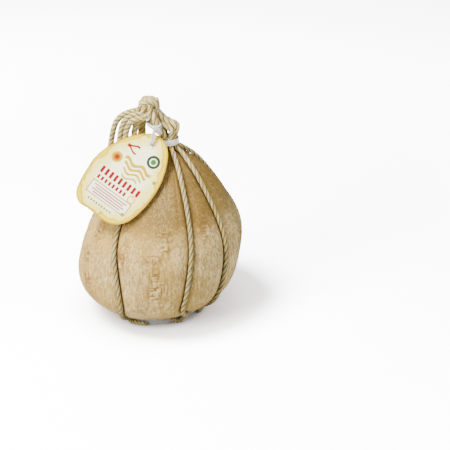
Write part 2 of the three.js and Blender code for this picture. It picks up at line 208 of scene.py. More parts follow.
# Free rope ends that hang from the knot, the first three in the paler rope
PALE_TAILS = 3
PALE_TAIL_SHADE = 0.84
BROWN_TAIL_HOLLOW_SHADE = 2.6
TAIL_LAY = 0.72
TAIL_STEP = 1.1
TAIL_TURN_APART = 0.17
TAIL_ROUTES = [
    [(-15.4, 0.4, 242.6), (-23.2, 0.6, 240.2), (-30.3, 0.8, 237.2), (-35.6, 1, 232.8), (-39.6, 1.2, 227.1),
     (-41.8, 1.4, 221), (-43.4, 1.6, 215), (-44.7, 2, 209), (-45.9, 2.4, 202.8), (-48, 3.2, 192),
     (-49.6, 4, 183)],
    [(-9.8, -6, 240.6), (-17.2, -6, 239.2), (-23.8, -6, 236.8), (-28.2, -6, 233.2), (-31, -6, 228.4),
     (-32.7, -6, 223.5), (-34, -6, 217.8), (-35, -6, 212), (-36.4, -6, 203), (-37.8, -6, 194), (-39, -6, 185)],
    [(-6.6, -11.4, 237.6), (-14.2, -10.9, 236.3), (-19.6, -10.2, 233.9), (-23, -9.5, 230.5),
     (-25.4, -8.9, 226.3), (-27, -8.4, 221.9), (-28, -8.2, 216.8), (-28.8, -8.2, 210), (-30, -8.2, 201),
     (-31.2, -8.2, 190)],
    [(-7.9, -0.8, 239.4), (-9.4, -1.6, 234.6), (-12.8, -2, 231), (-15.8, -2, 228), (-17.6, -2, 224.2),
     (-18.6, -2, 220.6), (-19.4, -2, 215.4), (-20.4, -2, 206), (-21.2, -2, 196)],
    [(-7.8, 6.3, 239.8), (-8, 6.5, 234.6), (-9.4, 6.5, 229.6), (-11.1, 6.3, 225.2), (-12.1, 6.1, 220.4),
     (-12.8, 6, 214), (-13.4, 6, 204)],
    [(-4.4, 11.4, 243.6), (-7.2, 13.2, 238.4), (-8.8, 13.4, 231.6), (-9.8, 13, 225.6), (-10.4, 12.8, 219.6),
     (-10.8, 12.8, 208), (-11, 12.8, 200)],
]

# Tag: its outline in its own plane (right, up), from its middle
TAG_THICKNESS = 0.7
TAG_OUTLINE = [
    (-19.4, -46.6), (-7.2, -46.3), (8, -47), (20, -46.2), (29.2, -42.2), (37.2, -33), (42.3, -16), (43.8, 3),
    (41.8, 22), (35.6, 40), (26, 55.6), (15.8, 61.9), (4.6, 62.2), (-6.9, 55.9), (-17.3, 45.1), (-26.3, 30.7),
    (-32.4, 16), (-35.1, 1), (-34.4, -12), (-32.8, -26), (-28.6, -39.4),
]
TAG_HOLE = (7.3, 50.9)
TAG_HOLE_RADIUS = 2.6
TAG_GRID = 1.5
TAG_EDGE_GAP = 0.9
TAG_HOLE_GAP = 0.8
TAG_OUTLINE_POINTS = 220
TAG_HOLE_POINTS = 28
TAG_FLAT_NEAR_HOLE = 20
TAG_BOW_MIDDLE = (4, 5)
TAG_BOW_REACH = (38, 52)
TAG_HOLE_PLACE = (0.8, -19.4, 210)
TAG_LEAN = 55
TAG_YAW = -6
TAG_ROLL = -33

# String
STRING_RADIUS = 1.3
STRING_LEG_RADIUS = 1.15
STRING_STEP = 0.35
STRING_SECOND_TURN = (0.7, 0.1, -2.3)
STRING_KNOT_RADIUS = 0.8
STRING_KNOT_TILTS = [(0, 0, 0), (60, 20, 0), (-50, 40, 30), (90, 0, 45)]
STRING_KNOTS = [((4.2, -16.4, 228.6), 1.9)]
STRING_STOPS = [((0.7, -20.7, 210.9), 2.0), ((0.9, -18.1, 209.1), 1.5)]
STRING_LOOP = [
    (4.2, -16.4, 228.6), (0.2, -14.4, 229.8), (-3.2, -10.6, 231), (-4.4, -6, 231), (-2.6, -1.6, 230.2),
    (1.2, -0.1, 229.6), (4.8, -1.9, 229.3), (5.2, -6.1, 229.7), (8, -7.9, 230.4), (10.6, -11.4, 230.2),
    (8.6, -15.4, 229.2), (4.2, -16.4, 228.6),
]
STRING_LEGS = [
    [(3.7, -16.6, 228), (2.5, -18.4, 222), (1.1, -20.6, 216), (-0.1, -21.7, 212.6), (0.2, -20.9, 210.9)],
    [(4.7, -16.8, 228), (4.5, -18, 222), (3.2, -20.2, 216), (1.9, -21.5, 212.4), (1.4, -20.8, 210.9)],
]
STRING_LOOSE_ENDS = [
    [(4.6, -16.8, 229), (7, -17.4, 226.4), (8.4, -17.2, 223), (9, -16.8, 219.8)],
    [(5, -16.2, 229), (8.4, -16.4, 227.2), (10.4, -16.2, 224), (11.2, -15.6, 220.8)],
]

# How loose fibres are drawn: how many in a millimetre, and how far they rise
TAIL_FIBRES = (0.8, 0.7)
HARNESS_FIBRES = (0.7, 0.3)
KNOT_FIBRES = (0.6, 0.5)
STRING_FIBRES = (0.5, 0.4)
FIBRE_STEPS = 4
FIBRE_LENGTH = (2.5, 6.0)
FIBRE_SWING = (-0.5, 0.9)
FIBRE_THICKNESS = (0.045, 0.085)

# Seeds of the random draws
TAIL_SEED = 31
HARNESS_SEED = 7
FRAY_SEED = 19
KNOT_SEED = 5
STRING_SEED = 3

# Camera, in millimetres and degrees
CAMERA_DISTANCE = 1300
CAMERA_ELEVATION = 27
CAMERA_LENS = 90.43
CAMERA_SENSOR = 36
CAMERA_AIM = (80.79, 0, 101.51)

# Where colours change, in metres: up the ropes (painted shade low on the cheese), up the cheese (a browner neck
# with painted shade under the tag), at its sides (painted light), and away from its middle (a painted shadow on
# the floor near the disc, and more glare far off)
ROPE_SHADE_HEIGHTS = (0.13, 0.215)
TAPER_HEIGHTS = (0.110, 0.142)
LEFT_SIDE = (-0.078, -0.03)
RIGHT_SIDE = (0.05, 0.085)
CONTACT_SHADOW_AWAY = (0.054, 0.066)
FOOT_SHADOW_AWAY = (0.05, 0.125)
FAR_AWAY = (0.35, 1.1)
CONTACT_SHADOW_GLARE = 0.45
FAR_GLARE = 1.5

# Tints that those places give to the rind: a browner neck with painted shade, and painted light on the left and
# right sides
TAPER_STAIN_AND_SHADE = (0.58, 0.545, 0.455)
LEFT_PAINTED_LIGHT = (0.95, 0.88, 0.72)
RIGHT_PAINTED_LIGHT = (1.14, 1.20, 1.32)

# Lamps: name, place and size in metres, and the setting that holds the power
LAMPS = [
    ("key_light", (-0.7, -0.3, 1.75), 0.7, "key_power"),
    ("front_light", (-1.55, -1.35, 1.1), 1.0, "front_power"),
    ("fill_light", (1.3, -0.8, 0.9), 1.2, "fill_power"),
]
LAMP_AIM = (0, 0, 0.1)

# Floor, in metres, and how much lower than the disc it lies
FLOOR_RINGS = [0.02 * 1.28 ** step for step in range(24)]
FLOOR_SIDES = 64
FLOOR_DROP = 0.3 * MM

# Sides of the ropes and of the string, and the length that counts as one in the lay's map
ROPE_SIDES = 10
STRING_SIDES = 8
BRISTLE_SIDES = 5
LAY_UNIT = 10


# Settings

def colour_setting(name, description, default):
    return FloatVectorProperty(name=name, description=description, subtype="COLOR",
                               default=default, min=0, max=1)


def share_setting(name, description, default):
    return FloatProperty(name=name, description=description, subtype="FACTOR", default=default, min=0, max=1)


def length_setting(name, description, default, low, high):
    return FloatProperty(name=name, description=description, subtype="DISTANCE",
                         default=default * MM, min=low * MM, max=high * MM)


def power_setting(name, description, default):
    return FloatProperty(name=name, description=description, subtype="POWER", default=default, min=0, max=500)


class ProvoloneRindSettings(bpy.types.PropertyGroup):
    colour: colour_setting("Rind colour", "Colour of the rind between its marks", (0.43, 0.285, 0.085))
    pale: colour_setting("Bloom colour", "Colour of the pale dusty patches", (0.62, 0.465, 0.21))
    mark: colour_setting("Fleck colour", "Colour of the orange-brown flecks", (0.18, 0.088, 0.016))
    deep: colour_setting("Deep colour", "Colour of the rind's darker grain", (0.255, 0.16, 0.045))
    # The groove colour is painted shade where the ropes sink into the rind.
    groove: colour_setting("Groove colour", "Colour where the ropes press in", (0.10, 0.052, 0.014))
    bank: length_setting("Bank height", "How far the rind rises beside a rope", 1.8, 0, 3)


class ProvoloneRopeSettings(bpy.types.PropertyGroup):
    colour: colour_setting("Rope colour", "Colour of the harness ropes' crests", (0.63, 0.515, 0.22))
    # The hollow colour is painted shade on the strands' sides, where they sink between their neighbours.
    hollow_shade: colour_setting("Hollow colour", "Colour of the rope between its strands", (0.13, 0.085, 0.03))
    tail: colour_setting("Tail colour", "Colour of the browner hanging ends' crests", (0.80, 0.64, 0.27))
    low_shade: share_setting("Shade on the cheese", "Brightness of the ropes on the cheese", 0.56)
    strands: IntProperty(
        name="Strands", description="How many strands are laid together", default=3, min=2, max=5)
    pitch: length_setting("Lay length", "Rope length in which a strand turns once", 26, 8, 80)


class ProvolonePlasticSettings(bpy.types.PropertyGroup):
    colour: colour_setting("Plastic colour", "Colour of the clip and the disc", (0.97, 0.91, 0.81))
    # Disc shade is painted shade: the white disc is drawn darker for the cheese's shade that it lies in.
    disc_shade: share_setting("Disc shade", "Brightness of the disc against the clip", 0.29)
    roughness: share_setting("Roughness", "How dull the plastic is", 0.42)


class ProvoloneTagSettings(bpy.types.PropertyGroup):
    card: colour_setting("Card colour", "Colour of the middle of the tag", (0.95, 0.925, 0.56))
    margin: colour_setting("Margin colour", "Colour of the tag's margin", (0.70, 0.54, 0.002))
    line: colour_setting("Line colour", "Colour of the line inside the margin", (0.36, 0.19, 0.0))
    bow: length_setting("Bow", "How far the card bows out of its plane", 1.1, 0, 4)


class ProvoloneStringSettings(bpy.types.PropertyGroup):
    colour: colour_setting("String colour", "Colour of the tag's string", (0.80, 0.79, 0.77))
    # The stop knot colour is painted shade: the white string's knots at the tag's hole are drawn grey for the
    # shade in the hole.
    stop: colour_setting("Stop knot colour", "Colour of the knots at the tag's hole", (0.42, 0.40, 0.43))
    pitch: length_setting("Lay length", "String length in which a strand turns once", 4.2, 1, 20)


class ProvoloneStageSettings(bpy.types.PropertyGroup):
    floor: colour_setting("Floor colour", "Colour of the pale floor", (0.93, 0.92, 0.93))
    key_power: power_setting("Top power", "Power of the soft lamp overhead", 96)
    front_power: power_setting("Front power", "Power of the large soft lamp low on the front left", 88)
    fill_power: power_setting("Fill power", "Power of the soft lamp on the right", 20)
    floor_bounce: share_setting("Floor bounce", "Share of its light that the floor throws back", 0.5)
    floor_glare: FloatProperty(
        name="Floor glare", description="How many times brighter the camera sees the floor",
        default=4.35, min=1, max=20)
    # Painted shadow: the glare that is left beside the disc, where the cheese shades the floor.
    foot_shadow_glare: share_setting("Glare at the foot", "Share of the glare that is left beside the disc", 0.42)
    sky: FloatProperty(
        name="Sky strength", description="Strength of the white surroundings", default=0.3, min=0, max=5)


# Form of the cheese

def soft_ramp(x, blend):
    return blend * np.log1p(np.exp(np.asarray(x, float) / blend))


def smooth_step(x, low, high):
    share = np.clip((np.asarray(x, float) - low) / (high - low), 0, 1)
    return share * share * (3 - 2 * share)


def lean_x(height):
    return LEAN_START + LEAN_PER_MM * (height - soft_ramp(height - LEAN_STOP, LEAN_BLEND))


def crest_radius(height):
    tapered = BELLY_RADIUS - TAPER_PER_MM * soft_ramp(height - SHOULDER_HEIGHT, SHOULDER_BLEND)
    below = np.maximum(0, BELLY_HEIGHT - height) / UNDERSIDE_DEPTH
    above = np.maximum(0, height - TIP_START) / (TIP_TOP - TIP_START)
    underside = np.sqrt(np.maximum(0, 1 - below ** UNDERSIDE_POWER))
    return tapered * underside * np.sqrt(np.maximum(0, 1 - above ** TIP_POWER))


def lobe_depth(height):
    along = np.clip((height - CHEESE_BOTTOM) / (TIP_TOP - CHEESE_BOTTOM), 0, 1)
    swell = LOBE_DEPTH_END + (LOBE_DEPTH_MIDDLE - LOBE_DEPTH_END) * np.abs(np.sin(math.pi * along)) ** 0.7
    return np.minimum(swell, crest_radius(height) * 0.3)


def unevenness(angle, height):
    broad = np.sin(2 * angle + height * 0.021) + 0.7 * np.sin(3 * angle - height * 0.034 + 1.3)
    return UNEVENNESS * broad * crest_radius(height) / BELLY_RADIUS


def slot_angle(rope):
    return math.radians(FIRST_SLOT + SLOT_STEP * rope)


def rope_angle(rope, height):
    foot, low, high = ROPE_ANGLES[rope]
    from_low = np.clip((height - ROPE_LOW) / (ROPE_HIGH - ROPE_LOW), 0, 1)
    low_turn = foot + (low - foot) * smooth_step(height, ROPE_FOOT, ROPE_LOW)
    on_cheese = low_turn + (high - low) * from_low ** ROPE_BEND
    turn_in = smooth_step(height, ROPE_TURN_IN, CLIP_BOTTOM)
    return np.radians(on_cheese) * (1 - turn_in) + slot_angle(rope) * turn_in


def groove_radius(angle, height):
    return crest_radius(height) + unevenness(angle, height) - lobe_depth(height)


def polar_point(centre_x, radius, angle, height):
    return np.array([centre_x + radius * math.sin(angle), -radius * math.cos(angle), height])


# Ropes' lines

def rope_on_rind(rope, height):
    angle = float(rope_angle(rope, height))
    slope = float(groove_radius(angle, height + 1) - groove_radius(angle, height - 1)) / 2
    length = math.hypot(1, slope)
    radius = float(groove_radius(angle, height)) + ROPE_LIFT / length
    return polar_point(float(lean_x(height)), radius, angle, height - ROPE_LIFT * slope / length)


def leaving_height(rope):
    height = ROPE_FOOT
    point = rope_on_rind(rope, height)
    while math.hypot(point[0], point[1]) < RIM_ROPE_RADIUS + 0.8:
        height += 1
        point = rope_on_rind(rope, height)
    return height


def rim_turn(rope):
    landing = rope_on_rind(rope, leaving_height(rope))
    start = math.atan2(landing[0], -landing[1])
    sweep, rise = RIM_TURNS[rope]
    return [polar_point(0, RIM_ROPE_RADIUS, start + math.radians(sweep) * share,
                        RIM_ROPE_HEIGHT + rise * share ** 3) for share in RIM_TURN_SHARES]


def harness_route(rope):
    lowest = leaving_height(rope)
    stations = [lowest] + [height for height in RIND_STATIONS if height > lowest + 2]
    points = rim_turn(rope)
    points += [rope_on_rind(rope, height) for height in stations]
    slot = slot_angle(rope)
    points.append(polar_point(NECK_X, SLOT_RADIUS + UNDER_CLIP_OUT, slot, CLIP_BOTTOM - UNDER_CLIP_DROP))
    points += [polar_point(NECK_X, SLOT_RADIUS, slot, CLIP_BOTTOM + CLIP_HEIGHT * share)
               for share in (0, 0.5, 1)]
    neck, side = NECK_ROUTES[rope]
    points += [np.array([x, y * side, z]) for x, y, z in neck]
    inward = np.array(KNOT_CENTRE) + (0, 0.3 * points[-1][1], 0) - points[-1]
    points.append(points[-1] + inward * INTO_KNOT)
    return points


def steps_between(points):
    return np.linalg.norm(np.diff(points, axis=0), axis=1)


def distance_along(points):
    return np.concatenate([[0], np.cumsum(steps_between(points))])


def line_length(points):
    return float(np.sum(steps_between(points)))


def even_turns(centres, pitch):
    return distance_along(centres) / pitch


def turned_by(degrees):
    return np.array(Euler([math.radians(angle) for angle in degrees]).to_matrix())


def curve_through(points, step, closed=False):
    """Points at equal steps on a centripetal Catmull-Rom curve."""
    points = np.array(points, float)
    if closed:
        padded = np.vstack([points[-1], points, points[0], points[1]])
    else:
        padded = np.vstack([2 * points[0] - points[1], points, 2 * points[-1] - points[-2]])
    fine = []
    share = np.linspace(0, 1, 24, endpoint=False)[:, None]
    for p0, p1, p2, p3 in zip(padded, padded[1:], padded[2:], padded[3:]):
        t0, t1, t2 = (max(np.linalg.norm(b - a), 1e-6) ** 0.5 for a, b in ((p0, p1), (p1, p2), (p2, p3)))
        leave = ((p1 - p0) / t0 - (p2 - p0) / (t0 + t1) + (p2 - p1) / t1) * t1
        reach = ((p2 - p1) / t1 - (p3 - p1) / (t1 + t2) + (p3 - p2) / t2) * t1
        fine.append((2 * share ** 3 - 3 * share ** 2 + 1) * p1 + (share ** 3 - 2 * share ** 2 + share) * leave
                    + (3 * share ** 2 - 2 * share ** 3) * p2 + (share ** 3 - share ** 2) * reach)
    fine = np.vstack(fine + [padded[-2][None]])
    along = distance_along(fine)
    count = max(4, int(round(along[-1] / step)) + 1)
    wanted = np.linspace(0, along[-1], count)
    return np.column_stack([np.interp(wanted, along, fine[:, axis]) for axis in range(3)])


def cross_frames(centres):
    """A tangent and two cross directions at each point, carried along without twist."""
    tangents = np.gradient(centres, axis=0)
    tangents /= np.linalg.norm(tangents, axis=1)[:, None]
    start = np.cross(tangents[0], (0, 0, 1))
    if np.linalg.norm(start) < 0.1:
        start = np.cross(tangents[0], (1, 0, 0))
    outs = []
    out = start
    for tangent in tangents:
        out = out - tangent * np.dot(out, tangent)
        out = out / np.linalg.norm(out)
        outs.append(out)
    outs = np.array(outs)
    return tangents, outs, np.cross(tangents, outs)


# Mesh building

class Shell:
    """Vertices, faces and UVs that are gathered before they become one mesh."""

    def __init__(self):
        self.points = []
        self.faces = []
        self.uvs = []
        self.slots = []
        self.slot = 0
        self.count = 0

    def add(self, points, faces, uvs):
        self.points.append(np.asarray(points, float))
        self.uvs.append(np.asarray(uvs, float))
        self.faces += [[corner + self.count for corner in face] for face in faces]
        self.slots += [self.slot] * len(faces)
        self.count += len(points)

    def build(self, name, *materials, flat=False):
        mesh = bpy.data.meshes.new(name)
        mesh.from_pydata((np.vstack(self.points) * MM).tolist(), [], self.faces)
        corners = np.empty(len(mesh.loops), int)
        mesh.loops.foreach_get("vertex_index", corners)
        mesh.uv_layers.new(name="lay").data.foreach_set("uv", np.vstack(self.uvs)[corners].ravel())
        for material in materials:
            mesh.materials.append(material)
        mesh.polygons.foreach_set("material_index", self.slots)
        if not flat:
            mesh.shade_smooth()
        mesh.validate()
        piece = bpy.data.objects.new(name, mesh)
        bpy.context.scene.collection.objects.link(piece)
        return piece


def add_mask(piece, name, values):
    layer = piece.data.attributes.new(name, "FLOAT", "POINT")
    layer.data.foreach_set("value", np.asarray(values, float))


def dressed(piece, slot, *nodes):
    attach(piece, "root")
    if nodes:
        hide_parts(*nodes)
    return piece


def grid_faces(rows, columns):
    """Faces between rings of vertices."""
    faces = []
    for row in range(rows - 1):
        for column in range(columns):
            beside = (column + 1) % columns
            faces.append((row * columns + column, row * columns + beside,
                          (row + 1) * columns + beside, (row + 1) * columns + column))
    return faces


def add_strands(shell, centres, radius, strands, turns, sides=ROPE_SIDES, swell=1.0):
    """Lays strands round a line. turns is how far round the strands have gone at each point."""
    tangents, outs, sideways = cross_frames(centres)
    along = distance_along(centres)
    size = np.ones(len(centres)) * swell
    reach = radius * (0.47 if strands > 2 else 0.5)
    thick = radius - reach
    wide = thick * (1.32 if strands > 2 else 1.12)
    theta = np.linspace(0, 2 * math.pi, sides, endpoint=False)
    for strand in range(strands):
        phase = 2 * math.pi * (turns + strand / strands)
        out = np.cos(phase)[:, None] * outs + np.sin(phase)[:, None] * sideways
        across = np.cross(tangents, out)
        middle = centres + out * (reach * size)[:, None]
        ring = (middle[:, None]
                + np.cos(theta)[None, :, None] * (thick * size)[:, None, None] * out[:, None]
                + np.sin(theta)[None, :, None] * (wide * size)[:, None, None] * across[:, None])
        uvs = np.empty((len(centres), sides, 2))
        uvs[:, :, 0] = strand + np.abs(theta / math.pi - 1)[None]
        uvs[:, :, 1] = along[:, None] / LAY_UNIT
        faces = grid_faces(len(centres), sides)
        faces.append(tuple(reversed(range(sides))))
        faces.append(tuple((len(centres) - 1) * sides + side for side in range(sides)))
        shell.add(ring.reshape(-1, 3), faces, uvs.reshape(-1, 2))


def add_fibres(shell, centres, radius, per_mm, lift, draw):
    """Short loose fibres that lie along a rope with their ends raised."""
    tangents, outs, sideways = cross_frames(centres)
    length = line_length(centres)
    spacing = length / (len(centres) - 1)
    longest = int(FIBRE_LENGTH[1] / spacing)
    for _ in range(int(length * per_mm)):
        first = draw.randrange(2, max(3, len(centres) - longest - 2))
        stretch = draw.uniform(*FIBRE_LENGTH) / spacing / FIBRE_STEPS
        angle = draw.uniform(0, 2 * math.pi)
        swing = draw.uniform(*FIBRE_SWING)
        raised = lift * draw.uniform(0.15, 1)
        thin = draw.uniform(*FIBRE_THICKNESS)
        points, uvs = [], []
        for step in range(FIBRE_STEPS):
            index = min(len(centres) - 1, int(first + stretch * step))
            turn = angle + swing * step / FIBRE_STEPS
            out = math.cos(turn) * outs[index] + math.sin(turn) * sideways[index]
            across = np.cross(tangents[index], out)
            share = step / (FIBRE_STEPS - 1)
            middle = centres[index] + out * (radius * 0.93 + raised * share ** 2)
            width = thin * (1 - 0.6 * step / (FIBRE_STEPS - 1))
            for corner in range(3):
                round_way = 2 * math.pi * corner / 3
                points.append(middle + width * (math.cos(round_way) * out + math.sin(round_way) * across))
                uvs.append((corner / 3, index * spacing / LAY_UNIT))
        last = 3 * FIBRE_STEPS
        faces = grid_faces(FIBRE_STEPS, 3) + [(2, 1, 0), (last - 3, last - 2, last - 1)]
        shell.add(points, faces, uvs)


def add_rope(shell, centres, radius, strands, turns, fibres, draw, sides=ROPE_SIDES, swell=1.0):
    """Strands with loose fibres on them."""
    add_strands(shell, centres, radius, strands, turns, sides, swell)
    add_fibres(shell, centres, radius, *fibres, draw)


# Materials

def node(tree, kind, inputs=None, **settings):
    made = tree.nodes.new(kind)
    for name, value in settings.items():
        setattr(made, name, value)
    for key, value in (inputs or {}).items():
        if isinstance(value, bpy.types.NodeSocket):
            tree.links.new(value, made.inputs[key])
        else:
            made.inputs[key].default_value = value
    return made


def calculate(tree, operation, *values):
    return node(tree, "ShaderNodeMath", dict(enumerate(values)), operation=operation).outputs[0]


def product(tree, first, second):
    return calculate(tree, "MULTIPLY", first, second)


def difference(tree, first, second):
    return calculate(tree, "SUBTRACT", first, second)


def total(tree, first, second):
    return calculate(tree, "ADD", first, second)


def between(tree, value, low, high, to_low=0.0, to_high=1.0):
    """Maps low..high onto to_low..to_high with soft ends."""
    return node(tree, "ShaderNodeMapRange", {0: value, 1: low, 2: high, 3: to_low, 4: to_high},
                interpolation_type="SMOOTHSTEP").outputs[0]


def blend(tree, factor, first, second):
    """Mixes two colours, each a socket or plain red, green and blue."""
    first, second = (value if isinstance(value, bpy.types.NodeSocket) else (*value, 1)
                     for value in (first, second))
    return node(tree, "ShaderNodeMix", {0: factor, 6: first, 7: second}, data_type="RGBA").outputs[2]


def dimmed(tree, colour, amount):
    return node(tree, "ShaderNodeVectorMath", {0: colour, "Scale": amount}, operation="SCALE").outputs[0]


def tinted(tree, base, factor, stain):
    """The base, multiplied by a tint where the factor is one; the rind's tints are painted light and shade, and
    a browner neck.
    """
    multiplied = node(tree, "ShaderNodeVectorMath", {0: base, 1: stain}, operation="MULTIPLY").outputs[0]
    return blend(tree, factor, base, multiplied)


def shade(colour, amount):
    return tuple(min(1.0, channel * amount) for channel in colour)


def tint(colour, *amounts):
    """The colour with its red, green and blue each multiplied."""
    return tuple(channel * amount for channel, amount in zip(colour, amounts))


def spots(tree, vector, scale, detail=3.0, roughness=0.55, stretch=None):
    if stretch is not None:
        vector = node(tree, "ShaderNodeMapping", {"Vector": vector, "Scale": stretch}).outputs[0]
    return node(tree, "ShaderNodeTexNoise", {"Vector": vector, "Scale": scale, "Detail": detail,
                                             "Roughness": roughness}).outputs["Fac"]


def place(tree):
    return node(tree, "ShaderNodeTexCoord").outputs["Object"]


def parts_of(tree, vector):
    return node(tree, "ShaderNodeSeparateXYZ", {0: vector}).outputs


def lay_map(tree):
    return node(tree, "ShaderNodeUVMap", uv_map="lay").outputs[0]


def attribute(tree, name):
    return node(tree, "ShaderNodeAttribute", attribute_name=name).outputs["Fac"]


def new_material(name):
    material = bpy.data.materials.new(name)
    material.use_nodes = True
    tree = material.node_tree
    return material, tree, tree.nodes["Principled BSDF"]


def finish_material(tree, shader, colour, roughness, height, strength, distance):
    tree.links.new(colour, shader.inputs["Base Color"])
    tree.links.new(roughness, shader.inputs["Roughness"])
    bump = node(tree, "ShaderNodeBump", {"Height": height, "Strength": strength, "Distance": distance})
    tree.links.new(bump.outputs[0], shader.inputs["Normal"])


def place_group(tree, name, inputs, outputs, fill, values):
    """Places a shared group, which is built the first time that it is asked for."""
    if name not in bpy.data.node_groups:
        group = bpy.data.node_groups.new(name, "ShaderNodeTree")
        for label, default in inputs.items():
            socket = group.interface.new_socket(label, in_out="INPUT", socket_type="NodeSocketFloat")
            socket.default_value = default
        for label in outputs:
            group.interface.new_socket(label, in_out="OUTPUT", socket_type="NodeSocketFloat")
        given = group.nodes.new("NodeGroupInput")
        result = group.nodes.new("NodeGroupOutput")
        for label, value in zip(outputs, fill(group, given.outputs)):
            group.links.new(value, result.inputs[label])
    placed = node(tree, "ShaderNodeGroup", dict(enumerate(values)), node_tree=bpy.data.node_groups[name])
    return placed.outputs


def twist_fibres(tree, *values):
    """Fibres along a laid strand, patches, and a mask of the strands' sunken sides, where painted shade goes.
    values are Fibres and Slant.
    """
    return place_group(tree, "Twist Fibres", {"Fibres": 9.0, "Slant": 1.6}, ("Hollow", "Fibre", "Patch"),
                       fill_twist_fibres, values)


def fill_twist_fibres(group, given):
    lay = parts_of(group, lay_map(group))
    hollow_shade = between(group, calculate(group, "FRACT", lay[0]), 0.35, 0.95, 1.0, 0.0)
    slanted = total(group, product(group, lay[0], given["Fibres"]), product(group, lay[1], given["Slant"]))
    stretched = node(group, "ShaderNodeCombineXYZ", {0: slanted, 1: product(group, lay[1], 1.2)}).outputs[0]
    return hollow_shade, spots(group, stretched, 1.0, 3.0, 0.6), spots(group, place(group), 110.0, 3.0, 0.6)


def rope_material(name, crest, hollow_shade, low_shade=1.0):
    """low_shade is how dark the rope is on the cheese, against its colour above the neck."""
    material, tree, shader = new_material(name)
    fibres = twist_fibres(tree, 9.0, 2.2)
    fleck = between(tree, fibres["Fibre"], 0.34, 0.66)
    base = blend(tree, fleck, shade(crest, 0.62), shade(crest, 1.30))
    straw = tint(crest, 0.98, 0.84, 0.42)
    yellowed = blend(tree, between(tree, fibres["Patch"], 0.48, 0.66, 0.0, 0.7), base, straw)
    grey = tint(crest, 0.82, 0.90, 1.25)
    weathered = blend(tree, between(tree, fibres["Patch"], 0.46, 0.32, 0.0, 0.7), yellowed, grey)
    # Painted shade: the strands' sunken sides take the darker hollow colour.
    dark = between(tree, fibres["Hollow"], 0.15, 0.95, 0.0, 0.95)
    colour = blend(tree, dark, weathered, hollow_shade)
    height = parts_of(tree, place(tree))[2]
    colour = dimmed(tree, colour, between(tree, height, *ROPE_SHADE_HEIGHTS, low_shade, 1.0))
    rough = between(tree, fibres["Fibre"], 0.2, 0.8, 0.78, 0.95)
    finish_material(tree, shader, colour, rough, fibres["Fibre"], 0.8, 0.6 * MM)
    shader.inputs["Specular IOR Level"].default_value = 0.1
    return material


def string_material(name, colour):
    material, tree, shader = new_material(name)
    fibres = twist_fibres(tree, 5.0, 6.0)
    fleck = between(tree, fibres["Fibre"], 0.3, 0.7)
    base = blend(tree, fleck, shade(colour, 0.9), shade(colour, 1.08))
    # Painted shade: the string's sunken sides between its two strands are drawn darker.
    dark = between(tree, fibres["Hollow"], 0.3, 1.0, 0.0, 0.55)
    mixed = blend(tree, dark, base, tint(colour, 0.62, 0.61, 0.68))
    rough = between(tree, fibres["Fibre"], 0.2, 0.8, 0.7, 0.9)
    finish_material(tree, shader, mixed, rough, fibres["Fibre"], 0.4, 0.15 * MM)
    return material


def worn_surface(tree, scale):
    """Fine moulded grain with faint scuffs, for the plastic parts and the floor."""
    return place_group(tree, "Worn Surface", {"Scale": 300.0}, ("Grain", "Scuff"), fill_worn_surface, [scale])


def fill_worn_surface(group, given):
    where = place(group)
    soft = spots(group, where, 22.0, 4.0, 0.62)
    streak = spots(group, where, 90.0, 3.0, 0.6, (1.0, 1.0, 0.12))
    scuff = product(group, between(group, soft, 0.42, 0.70), between(group, streak, 0.40, 0.66))
    return spots(group, where, given["Scale"], 2.0, 0.5), scuff


def plastic_material(name, colour, roughness, haze):
    material, tree, shader = new_material(name)
    worn = worn_surface(tree, 420.0)
    base = blend(tree, between(tree, worn["Grain"], 0.35, 0.65), shade(colour, 0.97), shade(colour, 1.03))
    scuffed = blend(tree, product(tree, worn["Scuff"], 0.5), base, shade(colour, 0.72))
    rough = between(tree, worn["Scuff"], 0.0, 1.0, roughness, min(1.0, roughness + 0.3))
    finish_material(tree, shader, scuffed, rough, worn["Grain"], 0.15, 0.1 * MM)
    shader.inputs["Subsurface Weight"].default_value = haze
    shader.inputs["Subsurface Radius"].default_value = (0.004, 0.004, 0.004)
    shader.inputs["Subsurface Scale"].default_value = 0.5
    return material


